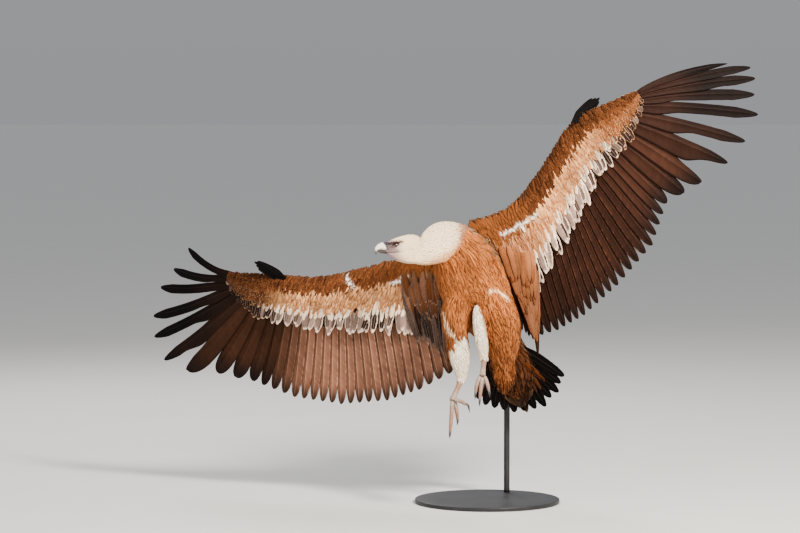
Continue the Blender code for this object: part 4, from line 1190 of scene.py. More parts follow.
def layQuills(fan, dorsal, look, dice, primaries):
    # A vane is as wide as the room to its neighbours where it overlaps them, then past its
    # split it narrows smoothly to a finger with a rounded point.
    places = eased(quillPlan["rows"], 1.25)
    spine = shaftsOf(fan, places)
    count = len(spine)
    number = np.arange(count)[:, None]
    tangent = unit(np.gradient(spine, axis=1))
    onward = np.concatenate([spine[1:], 2 * spine[-1:] - spine[-2:-1]]) - spine
    onward = onward - tangent * np.sum(onward * tangent, axis=2, keepdims=True)
    room = np.linalg.norm(onward, axis=2) / 2
    inward = unit(onward)
    up = unit(np.cross(inward, tangent))
    up = up * np.sign(up @ dorsal)[..., None]
    leftIsOuter = np.sum(np.cross(tangent, up) * inward, axis=2).mean() > 0
    outerRoom = np.concatenate([room[:1], room[:-1]])
    finger = fan["halves"][:, None] * np.minimum(1.0, quillPlan["taper"] * np.sqrt(np.clip(1.0005 - places, 0, 1)))
    innerSplit = fan["splits"][:, None]
    outerSplit = np.concatenate([innerSplit[:1], innerSplit[:-1]])
    opened = smoothstep(innerSplit - 0.1, innerSplit + 0.1, places) * (innerSplit < 0.85)
    openedOuter = smoothstep(outerSplit - 0.16, outerSplit + 0.08, places) * (outerSplit < 0.85)
    pointed = quillPlan["fingerPower"] + (quillPlan["tipPower"] - quillPlan["fingerPower"]) * smoothstep(
        3, primaries + 2, number)
    closing = np.sqrt(np.clip(1 - places**pointed, 0, 1))
    inner = (room * quillPlan["innerShare"] * closing * (1 - opened)
             + np.minimum(room * 0.95, finger * 1.12) * opened)
    outer = (outerRoom * quillPlan["outerShare"] * closing * (1 - openedOuter)
             + np.minimum(outerRoom * 0.9, finger * 0.78) * openedOuter)
    outer[0] = np.minimum(finger[0] * 0.7, 0.016)
    start = smoothstep(-0.02, 0.1, places)
    wear = 1 + 0.007 * dice.normal(0, 1, inner.shape)
    inner, outer = inner * start * wear, outer * start * wear
    tone = dice.random(count)
    shaft = quillPlan["thickShaft"] + (quillPlan["thinShaft"] - quillPlan["thickShaft"]) * places
    lay = feather(spine, up, 0.0, tone, thickness=0.0009, camber=0.08, reach=tuple(places),
                  tilt=quillPlan["tilt"] * (1.0 if leftIsOuter else -1.0) * (1 - 0.5 * opened),
                  rachis=np.broadcast_to(shaft, inner.shape))
    lay["left"], lay["right"] = (outer, inner) if leftIsOuter else (inner, outer)
    mid = smoothstep(primaries - 0.5, primaries + 4.5, number)
    hand = smoothstep(primaries - 6.0, primaries - 3.0, number)
    # the look's colours carry each wing's painted highlight or painted shade
    secondary = blend(look["secondary"], look["dark"], smoothstep(0.8, 1.0, places) * 0.9)
    primary = blend(look["primarySheen"], look["primary"], smoothstep(0.3, 0.7, places))
    middle = blend(look["middle"], look["dark"], smoothstep(0.7, 1.0, places))
    below = blend(blend(primary, middle, hand), secondary, mid) * (0.88 + 0.24 * tone[:, None, None])
    above = colours["brownBlack"] * (1.15 - 0.4 * places)[None, :, None]
    for key, colour, strength in (
            ("vaneColour", above, 0.84), ("vaneColourUnder", below, 0.8),
            ("rimColour", colours["umber"], 0.35),
            ("rimColourUnder", blend(look["dark"], look["secondaryEdge"], mid), 0.75),
            ("shaftColour", paint(60, 44, 38), 0.8),
            ("shaftColourUnder", blend(paint(70, 50, 40), look["shaft"], mid), 0.6)):
        lay[key] = asColour(np.broadcast_to(colour, spine.shape), strength)
    return lay


def layCoverts(wing, rows, dice, side):
    # Rows of coverts: roots at one chord, tips at a later one, evenly spaced along the span.
    # The point is the wing's surface at (span, chord), from the root's depth to the tip's height.
    lays = []
    stationSpan = np.linspace(0, 1, 200)
    lead = wingRow(wing, stationSpan)[0]
    reachOut = np.concatenate([[0], np.linalg.norm(np.diff(lead, axis=0), axis=1).cumsum()])
    steps = 9
    reach = eased(steps, 1.6)
    for row in rows:
        count = int(reachOut[-1] / row["step"])
        out = reachOut[-1] * (np.arange(count) + 0.5 + dice.uniform(-0.22, 0.22, count)) / count
        span = np.interp(out, reachOut, stationSpan)
        root, tip = row["chord"]
        jitter = dice.normal(0, row.get("uneven", 0.01), count)
        chord = root + jitter[:, None] + (tip - root) * reach * (1 + 0.06 * dice.normal(0, 1, (count, 1)))
        chord = np.maximum(chord, 0.0)
        # a curl about each root, and the whole wing's lean of its feathers outward
        slant = (0.012 + 0.01 * dice.normal(0, 1, (count, 1))) * reach
        spanPath = np.clip(span[:, None] + slant, 0, 1)
        low, high = row["height"]
        rise = low + (high - low) * reach + (dice.uniform(-0.5, 0.5, count) * 0.0012)[:, None] * reach
        spine = wingPoint(wing, spanPath, chord, np.full(chord.shape, float(side)), rise, row["floor"])
        half = row["width"] / 2 * outline(reach, *row["outline"]) * (1 - 0.25 * smoothstep(0.7, 1.0, span)[:, None])
        half = half * (1 + 0.04 * dice.normal(0, 1, (count, steps)))
        # the wing's light, its painted shade, goes with each feather to its dress
        lay = feather(spine, wingRow(wing, spanPath)[3] * side, half, dice.random(count), span=span,
                      dusk=wing["dusk"], light=wing["light"], thickness=0.0005, camber=row.get("camber", 0.1),
                      reach=tuple(reach))
        lay["rootPlace"] = np.stack([evenly(span), evenly(np.clip(chord[:, 0], 0, 1))], -1)
        lays.append(row["dress"](lay, dice))
    return lays


def lesserDress(lay, dice):
    # tawny brown, darker towards the hand, mottled, and all darkened by the wing's light as painted shade
    count = len(lay["tone"])
    share = (dice.normal(0.34, 0.26, count) + lay["dusk"] * smoothstep(0.5, 0.85, lay["span"])
             + 0.28 * patchy(lay["spine"][:, 4], 26.0, 1.0))
    vane = blend("covert", "covertDeep", np.clip(share, 0, 1))
    vane = blend(vane, "tawny", 0.8 * (1 - smoothstep(0.08, 0.3, lay["span"]))) * lay["light"]
    pale = streakShare(lay["spine"] + dice.normal(0, 0.0035, (count, 1, 3)), paleStreaks)
    vane = blend(vane[:, None], "white", pale)
    rim = blend("covert", "covertEdge", dice.uniform(0.0, 1.0, count)) * lay["light"]
    rim = blend(rim[:, None], "white", pale)
    return dress(lay, vane, rim, 0.5, "covertEdge", dice.uniform(0.1, 0.5, count)[:, None] * (1 - pale), 0.55)


def buffDress(lay, dice):
    # buff with tawny tips over the arm, dark with pale rims on the hand; browner on a wing with less light, as
    # painted shade
    count = len(lay["tone"])
    onHand = smoothstep(0.54, 0.72, lay["span"])
    near = 1 - smoothstep(0.12, 0.3, lay["span"])
    share = np.clip(near * 0.6 + dice.normal(0.44 - 0.18 * lay["light"], 0.22, count), 0, 1)
    vane = blend("buff", colours["covert"] * 1.3, share)
    hand = blend(colours["covert"] * 1.1, "covertDeep", dice.uniform(0.3, 1, count) * lay["dusk"])
    vane = blend(vane, hand, onHand)
    rim = blend("tawny", "sand", onHand)
    shaft = blend("whiteLine", "covertEdge", onHand)
    return dress(lay, vane, rim, 0.6 + 0.25 * onHand, shaft, 0.6 - 0.3 * onHand, 0.5 + 0.22 * onHand)


def whiteDress(lay, dice):
    # white tips make a jagged line over the arm; on the hand dark middles show inside buff rims; on a wing with less
    # light, slate middles show as painted shade
    onHand = smoothstep(0.62, 0.76, lay["span"])
    middle = np.clip((1 - lay["light"]) * dice.uniform(0, 2.2, len(onHand)), 0, 1)
    vane = blend("whiteLine", "slate", middle)
    vane = blend(vane, "covertDeep", onHand)
    rim = blend("whiteLine", paint(196, 144, 98), onHand)
    return dress(lay, vane, rim, 0.9, "white", 0.25 - 0.2 * onHand, 0.45 + 0.22 * onHand)


def greaterDress(lay, dice):
    # dark middles inside broad pale rims
    count = len(lay["tone"])
    onHand = smoothstep(0.62, 0.76, lay["span"])
    dark = np.clip(dice.normal(0.66, 0.24, count) + onHand * 0.4, 0.1, 1)
    middle = blend("greyWhite", "slate", dark)
    rim = blend(paint(222, 200, 182), paint(170, 134, 106), onHand)
    return dress(lay, middle, rim, 0.9, "greyWhite", 0.3, 0.56 + 0.14 * onHand)


def upperDress(lay, dice):
    # sandy brown above, with darker middles
    count = len(lay["tone"])
    share = np.clip(dice.normal(0.35, 0.2, count) + 0.2 * patchy(lay["spine"][:, 4], 14.0, 5.0), 0, 1)
    vane = blend("sandBrown", "umber", share)
    return dress(lay, vane, "sand", 0.5, "sand", 0.2, 0.72)


def darkUpperDress(lay, dice):
    return dress(lay, colours["umber"] * 0.6, "sand", 0.7, "umber", 0.4, 0.7)


# roots' and tips' place from the leading edge to the trailing edge, metres between roots, widths,
# the tip's height over the wing and the least height of all
greaterUnder = {"chord": (0.6, 1.02), "step": 0.0165, "width": 0.03, "outline": (0.55, 3.2),
                "height": (-0.001, 0.002), "floor": 0.0046, "dress": greaterDress, "uneven": 0.012}
greaterUpper = {"chord": (0.56, 0.955), "step": 0.027, "width": 0.046, "outline": (0.5, 6.0),
                "height": (-0.001, 0.005), "floor": 0.006, "dress": darkUpperDress, "uneven": 0.006}
whiteRow = {"chord": (0.52, 0.79), "step": 0.011, "width": 0.019, "outline": (0.5, 3.0),
            "height": (-0.001, 0.0014), "floor": 0.0058, "dress": whiteDress, "uneven": 0.018}
buffRow = {"step": 0.01, "width": 0.0165, "outline": (0.45, 2.4), "height": (-0.0015, 0.001),
           "floor": 0.003, "dress": buffDress, "uneven": 0.014, "camber": 0.07}
lesserRow = {"step": 0.0098, "width": 0.015, "outline": (0.42, 2.4), "height": (-0.003, 0.0004),
             "floor": 0.0006, "dress": lesserDress, "uneven": 0.012, "camber": 0.07}
upperMedianRow = {"chord": (0.46, 0.8), "step": 0.022, "width": 0.038, "outline": (0.5, 5.0),
                  "height": (-0.0015, 0.0016), "floor": 0.006, "dress": upperDress, "uneven": 0.008}
upperRow = {"step": 0.0165, "width": 0.026, "outline": (0.45, 4.0), "height": (-0.003, 0.001),
            "floor": 0.0006, "dress": upperDress}


def rowsOf(row, first, last, count, reach, shorter, edge):
    # rows from the rearmost forward, the ones at the leading edge shorter
    return [dict(row, chord=(start, start + reach - shorter * (start < edge)))
            for start in np.linspace(first, last, count)]


underRows = [whiteRow, *rowsOf(buffRow, 0.5, 0.22, 7, 0.235, 0.0, 0.0),
             *rowsOf(lesserRow, 0.2, 0.0, 8, 0.19, 0.05, 0.08)]
upperRows = [upperMedianRow, *rowsOf(upperRow, 0.42, 0.0, 8, 0.24, 0.08, 0.1)]


def layAlula(wing, dorsal, dice):
    # four stiff pointed feathers on the thumb, fanned a little, their roots under the coverts
    root, tip = wing["alula"]
    way = unit(tip - root)
    inward = unit(np.cross(way, dorsal))
    count = 4
    share = np.linspace(-1, 1, count)[:, None]
    fan = {"roots": root - way * 0.03 + inward * share * 0.006 - dorsal * 0.002,
           "tips": root + (tip - root) * (1.02 - 0.16 * np.abs(share + 0.35)) + inward * share * 0.013,
           "bows": dorsal * 0.01 + inward * share * 0.004}
    reach = np.linspace(0, 1, 22)
    spine = shaftsOf(fan, reach) + dorsal * np.linspace(0, 0.004, count)[:, None, None]
    lay = feather(spine, dorsal, 0.012 * outline(reach, 0.35, 2.2), dice.random(count), thickness=0.0009,
                  camber=0.12, tilt=np.full(spine.shape[:2], 0.0012),
                  rachis=np.broadcast_to(0.0014 - 0.001 * reach, spine.shape[:2]))
    return dress(lay, "black", "sheen", 0.4, "sheen", 0.5, 0.8)


# long soft feathers between the wing and the body: roots and tips of the first and the last
# each plan's root number dims the pale buff at the feathers' roots as painted shade
innerPlans = {
    # painted shadow: this dark under-layer of umber and brown-black fills the gap between the body and the paler
    # patch
    "left": [{"count": 9, "roots": mm((66, -52, 170), (150, -60, 170)),
              "tips": mm((150, -28, -150), (214, -4, -195)), "bow": mm(20, -6, 0),
              "width": 0.028, "colour": "umber", "edge": "brownBlack", "upper": "umber", "dark": 0.4,
              "rim": 0.5, "rootPaintedShade": 0.6, "sunk": 0.034},
             {"count": 12, "roots": mm((60, -62, 185), (178, -76, 180)),
              "tips": mm((186, -48, -150), (224, -30, -184)), "bow": mm(14, -10, 0),
              "width": 0.027, "colour": "pinkTawny", "edge": "rust", "upper": "tawny", "dark": 0.18,
              "rim": 0.45, "rootPaintedShade": 0.85, "sunk": 0.034}],
    # these feathers' own grey with pale rims is darkened to slate as painted shadow in the wing's inner corner
    "right": [{"count": 16, "roots": mm((-130, 6, 70), (-285, 46, 42)),
               "tips": mm((-122, 34, -235), (-232, 74, -170)), "bow": mm(-10, -14, -6),
               "width": 0.03, "colour": "slate", "edge": "greyWhite", "upper": "tawny", "dark": 0.1,
               "rim": 0.45, "rootPaintedShade": 0.35, "sunk": 0.013}],
}
innerTiers = (1.0, 0.8, 0.6, 0.42)       # how far each tier reaches, the longest undermost


def layInnerFeathers(plan, dice):
    count = plan["count"] * len(innerTiers)
    share = np.tile(np.linspace(0, 1, plan["count"]), len(innerTiers))[:, None] + dice.normal(0, 0.02, (count, 1))
    tier = np.repeat(np.arange(len(innerTiers)), plan["count"])
    longer = (np.array(innerTiers)[tier] * (1 + 0.06 * dice.normal(0, 1, count)))[:, None]
    (root0, root1), (tip0, tip1) = plan["roots"], plan["tips"]
    roots = root0 + (root1 - root0) * share + dice.normal(0, 0.003, (count, 3))
    tips = tip0 + (tip1 - tip0) * share
    roots = roots + (tips - roots) * dice.uniform(-0.1, 0.07, (count, 1))
    fan = {"roots": roots + backWay * plan["sunk"], "tips": roots + (tips - roots) * longer,
           "bows": plan["bow"] * longer}
    reach = eased(14, 1.4)
    layer = (0.0022 * tier + 0.003 * dice.random(count))[:, None, None]
    spine = shaftsOf(fan, reach) - layer * backWay * smoothstep(0, 0.3, reach)[None, :, None]
    half = plan["width"] / 2 * outline(reach, 0.45, 3.0) * (1 + 0.05 * dice.normal(0, 1, spine.shape[:2]))
    lay = feather(spine, -backWay, half, dice.random(count), thickness=0.0007, camber=0.12,
                  reach=tuple(reach))
    shade = np.clip(dice.normal(plan["dark"], 0.18, count), 0, 1)
    vane = blend(plan["colour"], plan["edge"], shade)
    vane = blend(vane, plan["upper"], np.where(tier > 1, 0.35, 0.0))
    # painted shade: each feather darkens towards its tip, and its pale buff root is dimmed
    vane = vane[:, None] * (1.05 - 0.6 * reach**1.5)[None, :, None]
    vane = blend(vane, colours["buff"] * plan["rootPaintedShade"], 0.7 * (1 - smoothstep(0.05, 0.25, reach)))
    return dress(lay, vane, plan["edge"], plan["rim"], "covertEdge", 0.25, 0.75)


def makeWing(side):
    wing = wingPlans[side]
    dice = np.random.default_rng({"left": 41, "right": 47}[side])
    dorsal = wingRow(wing, np.array(0.5))[3]
    primaries = quillCounts["primaries"]
    quills = layQuills(fanOf(wing), dorsal, wingLook[side], dice, primaries)
    for name, lay in (("primaries", keepWhere(quills, slice(0, primaries))),
                      ("secondaries", keepWhere(quills, slice(primaries, None))),
                      ("alula", layAlula(wing, dorsal, dice))):
        addFeathers(f"quills_{side}_{name}", strips(lay), *quillCoat, f"wing_{side}_{name}")
    for place, rows, greater, sign in (("under", underRows, greaterUnder, -1), ("upper", upperRows, greaterUpper, 1)):
        addFeathers(f"coat_{side}_wing_{place}", joinLays(layCoverts(wing, rows, dice, sign)), *wingCoat)
        addFeathers(f"greater_{side}_wing_{place}", strips(layCoverts(wing, [greater], dice, sign)[0]), *wingCoat)
    inner = strips(joinLays([layInnerFeathers(plan, dice) for plan in innerPlans[side]]))
    addFeathers(f"inner_{side}_wing", inner, *wingCoat)


for wingSide in sides:
    makeWing(wingSide)
print("wings made")


def tailFan(sweep, spread, rootOut, lengths):
    # straight feathers fanned about the end of the spine
    angle = sweep * spread / 2 + tailPlan["swing"]
    ways = -np.outer(np.cos(angle), aheadWay) + np.outer(np.sin(angle), rightWay)
    middle = aheadWay * tailPlan["rootAhead"]
    return ways, {"roots": middle + ways * rootOut, "tips": middle + ways * lengths[:, None],
                  "bows": np.zeros((len(sweep), 3))}


def makeTail():
    # twelve quills, the outer ones shorter
    dice = np.random.default_rng(53)
    count = tailPlan["count"]
    sweep = np.linspace(-1, 1, count)
    lengths = tailPlan["length"] * (1 - tailPlan["shorter"] * sweep**2) * (1 - 0.06 * dice.random(count))
    fan = tailFan(sweep, tailPlan["spread"], 0.045, lengths)[1]
    fan["roots"] += np.outer(sweep**2 * 0.04, aheadWay)
    fan["tips"] -= np.outer(sweep**2 * tailPlan["droop"], backWay)
    reach = eased(30, 1.2)
    # each lies a little behind its inner neighbour, so the middle pair is on top
    spine = shaftsOf(fan, reach) - np.abs(sweep)[:, None, None] * 0.006 * backWay
    shape = spine.shape[:2]
    half = 0.0235 * outline(reach, 0.5, 5.0) * (1 + 0.05 * dice.normal(0, 1, shape) * smoothstep(0.6, 1, reach))
    lay = feather(spine, backWay, half, dice.random(count), thickness=0.001, camber=0.12,
                  tilt=np.sign(sweep)[:, None] * np.full(shape, -0.0016),
                  rachis=np.broadcast_to(0.002 - 0.0015 * reach, shape))
    lay = strips(dress(lay, "black", "brownBlack", 0.5, paint(70, 56, 52), 0.7))
    addFeathers("quills_tail", lay, *quillCoat, "tail_feathers")


# long soft coverts that reach over the tail, below it and above it: their vanes' two colours,
# the rim, the shaft, and where the rim starts
tonguePlans = {
    "under": {"count": 30, "spread": math.radians(54), "root": 0.07, "reach": (0.15, 0.245), "width": 0.023,
              "side": -1, "lift": (0.022, 0.007), "vane": (colours["rust"] * 0.55, "brownBlack"),
              "rim": "umber", "shaft": "rust", "rimStart": 0.5},
    "upper": {"count": 16, "spread": math.radians(60), "root": 0.06, "reach": (0.17, 0.215), "width": 0.034,
              "side": 1, "lift": (0.016, 0.008), "vane": ("umber", "brownBlack"),
              "rim": colours["sand"] * 0.6, "shaft": "umber", "rimStart": 0.75},
}


def layTongues(plan, dice):
    count = plan["count"]
    sweep = np.linspace(-1, 1, count) + dice.normal(0, 0.03, count)
    low, high = plan["reach"]
    lengths = low + (high - low) * dice.random(count) * (1 - 0.25 * sweep**2)
    ways, fan = tailFan(sweep, plan["spread"], plan["root"], lengths)
    reach = eased(16, 1.4)
    lift = plan["side"] * backWay
    start, end = plan["lift"]
    height = start + (end - start) * np.sin(reach * math.pi / 2) + dice.uniform(0, 0.004, count)[:, None]
    bend = dice.normal(0, 0.01, count)[:, None] * reach**2
    spine = (shaftsOf(fan, reach) + lift * height[..., None]
             + unit(np.cross(ways, backWay))[:, None] * bend[..., None])
    half = plan["width"] / 2 * outline(reach, 0.4, 2.6) * (1 + 0.08 * dice.normal(0, 1, spine.shape[:2]))
    lay = feather(spine, lift, half, dice.random(count), thickness=0.0006, camber=0.12, reach=tuple(reach))
    vane = blend(*plan["vane"], dice.random(count))
    return strips(dress(lay, vane, plan["rim"], 0.5, plan["shaft"], 0.3, plan["rimStart"]))


def makeTongues():
    dice = np.random.default_rng(59)
    for name, plan in tonguePlans.items():
        addFeathers(f"tongues_{name}_tail", layTongues(plan, dice), "covert", contourFinish, "tawny_plumage")


makeTail()
makeTongues()
print("tail made")


def colourSkin():
    # the nearest root is the one with the smallest root^2 - 2 * place * root
    roots = np.concatenate(rootsSeen).astype(np.float32)[::2]
    shades = np.concatenate(coloursSeen)[::2]
    places = placesOf(skin.data)
    rootSquares = np.sum(roots**2, axis=1)
    nearest = np.concatenate([np.argmin(rootSquares - 2 * some.astype(np.float32) @ roots.T, axis=1)
                              for some in np.array_split(places, 80)])
    colour = shades[nearest] * 0.9
    away = places - headMiddle
    isFace = (away @ headAhead > -0.01) & (np.linalg.norm(away, axis=1) < 0.1)
    colour[isFace] = headColour(places[isFace]) * 0.92
    scaly = np.zeros(len(places))
    for side, toLeft in sides.items():
        # the lids darken to a nearly black edge; above the eye the lore's dark is painted shadow from the brow, below
        # it the lid is pale lilac
        fromEye = places - eyePlaceOf(toLeft)
        off = np.linalg.norm(fromEye - gazeOf(toLeft) * eyePlan["radius"], axis=1)
        lid = np.linalg.norm(fromEye, axis=1) < eyePlan["radius"] * 1.3
        outside = blend("lore", colours["lilac"] * 1.3, smoothstep(0.002, -0.005, fromEye[lid] @ headUp))
        colour[lid] = blend(colours["lore"] * 0.6, outside, smoothstep(0.006, 0.0095, off[lid]))
        # the foot: near the bones of the shin and toes, and below the feathered shank
        plan = footPlans[side]
        bones = [plan["shin"][:, :3]] + [plan[toe] for toe in toeNames]
        line = np.concatenate([smoothRows(bone, np.linspace(0, 1, 12)) for bone in bones])
        near = np.min(np.linalg.norm(places[:, None] - line[None], axis=2), axis=1)
        isFoot = (near < 0.022) & (places[:, 2] < shankPlans[side][-1][2] + 0.004)
        scaly[isFoot] = 1
        toeShare = smoothstep(0.01, 0.06, np.linalg.norm(places - plan["shin"][-1][:3], axis=1))
        colour[isFoot] = blend("foot", "toe", toeShare[isFoot])
    setAttribute(skin.data, "skinColour", "FLOAT_COLOR", asColour(colour))
    setAttribute(skin.data, "scaly", "FLOAT", scaly)


colourSkin()
flesh = ["trunk", "neck", "head", "tail_coverts"]
for legSide in sides:
    flesh += [f"{part}_{legSide}" for part in ("thigh", "shank", "shin")]
    flesh += [f"toe_{legSide}_{toe}" for toe in toeNames]
    flesh += [f"wing_{legSide}_{part}" for part in ("upper_arm", "forearm", "hand")]
settle(skin, "tawny_plumage", *flesh)
print("skin coloured")


def hornFinish(name, roughness):
    material, finish = newFinish(name, roughness, Specular_IOR_Level=0.5, Coat_Weight=0.25, Coat_Roughness=0.25)
    stretched = {"Vector": finish.place(), "Scale": (90.0, 90.0, 420.0)}
    streaks = finish.noise(1.0, 4.0, finish.node("ShaderNodeMapping", (), stretched))
    finish.shaded(finish.attribute("hornColour", "Color"), 1.0 + (streaks - 0.5) * 0.3)
    finish.bump(streaks, 0.15, 0.0006)
    return material


billFinish = hornFinish("bill horn", 0.34)
clawFinish = hornFinish("claw horn", 0.38)
# the lower bill's dark grey is partly its own colour and partly painted shade
billLook = {"rows": 120, "around": 72, "cere": paint(66, 56, 64), "ivory": paint(232, 220, 208),
            "tip": paint(74, 68, 64), "lower": paint(70, 62, 58), "cereEnd": 0.21, "cereSlant": 0.09}


def addBill(name, stations, isUpper):
    # rings square to the bill's curved line, pinched towards the ridge; the cere swells behind a
    # small step, and the nostril is a narrow pit in it
    rows, around = billLook["rows"], billLook["around"]
    place = np.linspace(0, 1, rows)
    row = smoothRows(stations, place)
    run, rise = np.gradient(row[:, 0]), np.gradient(row[:, 1])
    size = np.hypot(run, rise)
    square = (headUp * (run / size)[:, None] - headAhead * (rise / size)[:, None])[:, None]
    across, up = circle(around)
    down = place[:, None]
    pinch = 1 - 0.22 * np.clip(up, 0, 1) if isUpper else 1 - 0.15 * np.clip(-up, 0, 1)
    swell = np.ones((rows, around))
    if isUpper:
        cereEnd = billLook["cereEnd"] + billLook["cereSlant"] * up
        swell += 0.06 * (1 - smoothstep(cereEnd - 0.015, cereEnd + 0.01, down))
        slit = np.exp(-((down - 0.17) / 0.016) ** 2) * smoothstep(-0.1, 0.15, up) * (1 - smoothstep(0.6, 0.75, up))
        swell -= 0.28 * slit
        swell -= 0.05 * np.exp(-((up + 0.55) / 0.16) ** 2)[None] * smoothstep(0.3, 0.5, down)
    middle = headMiddle + row[:, :1] * headAhead + row[:, 1:2] * headUp
    rings = (middle[:, None] + headSide * (across * pinch * swell * row[:, 2:3])[..., None]
             + square * (up * swell * row[:, 3:4])[..., None])
    piece = addLoft(name, rings, billFinish)
    along = np.append(np.repeat(place, around), [0, 1])
    below = np.append(np.tile(-up, rows), [0, 0])
    if isUpper:
        edge = billLook["cereEnd"] - billLook["cereSlant"] * below
        colour = blend(billLook["cere"], billLook["ivory"], smoothstep(edge - 0.02, edge + 0.03, along))
        colour = blend(colour, billLook["tip"], smoothstep(0.62, 0.84, along) * 0.95)
        # painted shade: the upper bill darkens along its lower side
        colour = blend(colour, billLook["tip"], smoothstep(0.1, 0.7, below) * smoothstep(0.25, 0.5, along) * 0.85)
    else:
        # the lower bill: dark grey, partly painted shade, darker still towards the tip
        colour = blend(billLook["lower"], billLook["tip"], smoothstep(0.4, 0.9, along))
    setAttribute(piece.data, "hornColour", "FLOAT_COLOR", asColour(colour))
    return piece


settle(addBill("billUpper", billPlan["upper"], True), "pale_bill", "bill_upper")
settle(addBill("billLower", billPlan["lower"], False), "bill_horn", "bill_lower")


def eyeFinish():
    # rings about the gaze, in degrees: pupil, brown iris with darker rim, then dark
    material, finish = newFinish("eye", 0.08, Specular_IOR_Level=0.6, Coat_Weight=1.0, Coat_Roughness=0.03)
    off = finish.attribute("offGaze")
    fleck = finish.noise(900.0, 3.0)
    iris = finish.mix(off.step(14.0, 34.0), paint(96, 58, 30), paint(52, 30, 20))
    iris = finish.mix((fleck - 0.4) * 0.6, iris, paint(140, 92, 50))
    inside = finish.mix(off.step(13.0, 15.0), (0.004, 0.004, 0.005), iris)
    finish.feed("Base Color", finish.mix(off.step(34.0, 38.0), inside, paint(34, 24, 24)))
    return material


eyeMaterial = eyeFinish()


def addEye(side, toLeft):
    # a ball whose front bulges a little, like exp(-(angle / 28 degrees)^2)
    gaze = gazeOf(toLeft)
    level = unit(np.cross(gaze, headUp))
    rows, around = 60, 64
    angle = np.linspace(0.02, math.pi - 0.02, rows)[:, None] * np.ones(around)
    radius = eyePlan["radius"] * (1 + 0.05 * np.exp(-(np.degrees(angle) / 28) ** 2))
    way = wayOff(gaze, level, np.cross(level, gaze), angle, around)
    piece = addLoft(f"eyeBall_{side}", eyePlaceOf(toLeft) + way * radius[..., None], eyeMaterial)
    setAttribute(piece.data, "offGaze", "FLOAT", np.append(np.degrees(angle).ravel(), [0, 180]))
    settle(piece, "iris", f"eye_{side}")


def addClaw(side, toe):
    # a tapered curve from inside the toe's end to the claw's tip, sharp at the end
    before, last, tip = footPlans[side][toe][1:]
    onward = unit(last - before)
    path = np.array([last - onward * 0.006, last + onward * 0.009, tip])
    rows, around = 36, 20
    piece = addTube(f"clawHorn_{side}_{toe}", toeFrame(path, toeSize["clawRadius"] * np.array([1.0, 0.8, 0.08])),
                    rows, around, material=clawFinish)
    along = np.append(np.repeat(np.linspace(0, 1, rows), around), [0, 1])
    colour = blend(paint(104, 96, 92), paint(44, 42, 46), smoothstep(0.1, 0.7, along))
    setAttribute(piece.data, "hornColour", "FLOAT_COLOR", asColour(colour))
    settle(piece, "claw_horn", f"claw_{side}_{toe}")


for eyeSide, toLeft in sides.items():
    addEye(eyeSide, toLeft)
for legSide in sides:
    for toeName in toeNames:
        addClaw(legSide, toeName)
print("bill, eyes and claws made")

standPlan = {"baseRadius": 0.27, "baseHeight": 0.014, "edge": 0.0025, "rodRadius": 0.011, "padRadius": 0.024,
             "padLength": 0.05, "foot": (0.08, 0.19), "bendDrop": 0.2, "gap": 0.0003}


def standFinish():
    # satin black paint over steel: a fine orange-peel and a few softer, worn patches
    material, finish = newFinish("stand paint", 0.42, Metallic=0.0, Specular_IOR_Level=0.5)
    fine = finish.noise(700.0, 3.0)
    broad = finish.noise(9.0, 4.0)
    finish.feed("Base Color", finish.mix(broad.step(0.35, 0.7), paint(36, 36, 38), paint(48, 47, 48)))
    finish.feed("Roughness", 0.36 + broad * 0.16)
    finish.bump(fine, 0.12, 0.0005)
    return material


standMaterial = standFinish()


def addRound(name, path, radii, along, hint, around):
    # rings of the given radii about a path, square to the ways along it
    sideways = unit(np.cross(along, hint))
    other = np.cross(along, sideways)
    across, up = (part[:, None] for part in circle(around))
    rings = path[:, None] + radii[:, None, None] * (sideways[..., None, :] * across + other[..., None, :] * up)
    return addLoft(name, rings - trunkCentre, standMaterial)


def addTurned(name, radius, bottom, top, edge, origin, axis, around):
    # a disc with quarter-round edges: its profile of radius and height carried round an axis
    bend = np.linspace(0, math.pi / 2, 6)
    low = np.column_stack([radius - edge + edge * np.sin(bend), bottom + edge - edge * np.cos(bend)])
    high = np.column_stack([radius - edge + edge * np.cos(bend), top - edge + edge * np.sin(bend)])
    radii, heights = np.vstack([[(radius * 0.3, bottom), (radius * 0.8, bottom)], low, high,
                                [(radius * 0.8, top), (radius * 0.3, top)]]).T
    return addRound(name, origin + axis * heights[:, None], radii, axis, (0.37, 0.93, 0.05), around)


def makeStand():
    upright = np.array([0, 0, 1.0])
    padWay = unit(backWay * 0.94 - upright * 0.34)
    padInner = trunkCentre - aheadWay * 0.06 + backWay * 0.06 - rightWay * 0.045
    height, length, gap = standPlan["baseHeight"], standPlan["padLength"], standPlan["gap"]
    base = addTurned("standBase", standPlan["baseRadius"], 0, height, standPlan["edge"], np.zeros(3), upright, 160)
    pad = addTurned("standPad", standPlan["padRadius"], 0.006, length, 0.002, padInner, padWay, 72)
    foot = np.array([*standPlan["foot"], height + gap])
    top = padInner + padWay * (length + gap)
    bend = np.array([*standPlan["foot"], top[2] - standPlan["bendDrop"]])
    reach = np.linspace(0, 1, 40)[:, None]

    def curve(a, b, c, d):
        return (1 - reach)**3 * a + 3 * reach * (1 - reach)**2 * b + 3 * reach**2 * (1 - reach) * c + reach**3 * d

    lower = curve(foot, foot + upright * 0.12, bend - upright * 0.1, bend)
    upper = curve(bend, bend + upright * 0.1, top + padWay * 0.07, top)
    path = np.vstack([lower, upper[1:]])
    rod = addRound("standRod", path, np.full(len(path), standPlan["rodRadius"]), unit(np.gradient(path, axis=0)),
                   (1.0, 0.0, 0.0), 32)
    for piece, node in ((base, "stand_base"), (pad, "stand_pad"), (rod, "stand_rod")):
        settle(piece, "painted_steel", node)


makeStand()
print("stand made")

stagePlan = {"floorSize": 600.0, "floor": (0.62, 0.61, 0.59), "sky": (0.86, 0.88, 0.92), "skyStrength": 0.57,
             "horizon": 0.6, "rise": 0.3}


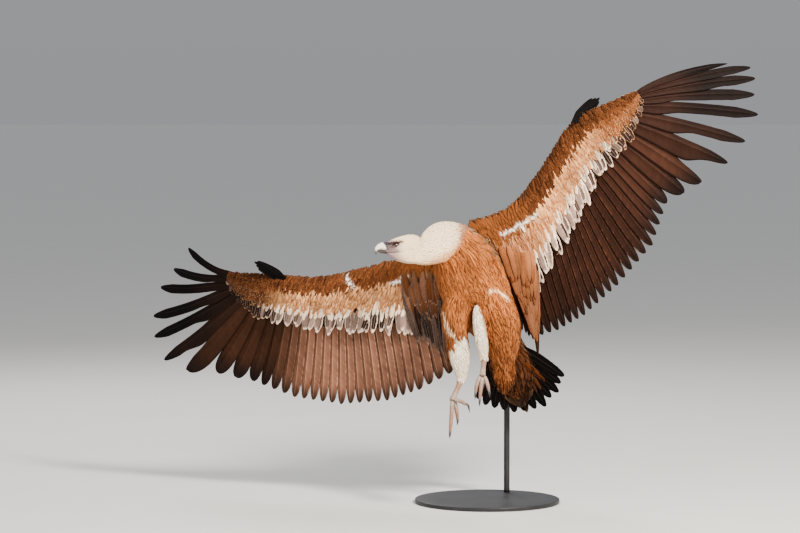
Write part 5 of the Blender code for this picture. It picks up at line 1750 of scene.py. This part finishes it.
def makeStage():
    half = stagePlan["floorSize"] / 2
    corners = half * np.array([(-1, -1, 0), (1, -1, 0), (1, 1, 0), (-1, 1, 0)]) - (0, 0, 0.0005)
    material, finish = newFinish("floor", 0.85)
    shade = np.array(stagePlan["floor"])
    finish.feed("Base Color", finish.mix(finish.noise(3.0, 4.0), shade * 0.97, shade * 1.03))
    addMesh("floor", corners - trunkCentre, [[0, 1, 2, 3]], material, smooth=False)
    world = bpy.data.worlds.new("studio")
    bpy.context.scene.world = world
    # near the horizon the sky is as dark as the far floor, so that no line shows between them
    studio = Finish(world, "Background", Strength=stagePlan["skyStrength"])
    climb = studio.parts(studio.place("Generated"))[2].step(0.0, stagePlan["rise"])
    sky = np.array(stagePlan["sky"])
    studio.feed("Color", studio.mix(climb, sky * stagePlan["horizon"], sky))


lampPlan = [
    # name, place, size, watts, colour
    ("key", (3.4, -5.0, 5.0), 1.4, 1060.0, (1.0, 0.93, 0.84)),
    ("fill", (-4.5, -4.5, 2.4), 4.0, 110.0, (0.92, 0.96, 1.0)),
    ("low", (0.0, -4.0, 0.5), 3.0, 50.0, (1.0, 0.92, 0.84)),
    ("rim", (-2.0, 4.5, 4.5), 2.5, 160.0, (1.0, 0.98, 0.95)),
]


def makeLamps():
    for name, place, size, watts, colour in lampPlan:
        lamp = bpy.data.lights.new(name, "AREA")
        lamp.size, lamp.energy, lamp.color = size, watts, colour
        holder = linked(name, lamp)
        holder.location = place
        aim = Vector((-0.1, 0.0, 0.9)) - holder.location
        holder.rotation_euler = aim.to_track_quat("-Z", "Y").to_euler()


cameraPlan = {"target": (-0.326, -0.0754, 0.8868), "distance": 11.0, "above": math.radians(3), "viewWidth": 2.96}


def makeCamera():
    lens = bpy.data.cameras.new("camera")
    lens.lens = lens.sensor_width * cameraPlan["distance"] / cameraPlan["viewWidth"]
    camera = linked("camera", lens)
    above = cameraPlan["above"]
    way = Vector((0, math.cos(above), -math.sin(above)))
    camera.location = Vector(cameraPlan["target"]) - way * cameraPlan["distance"]
    camera.rotation_euler = (math.pi / 2 - above, 0, 0)
    bpy.context.scene.camera = camera
    bpy.context.scene.view_settings.look = "AgX - Medium High Contrast"


makeStage()
makeLamps()
makeCamera()
print("stage, lamps and camera set")
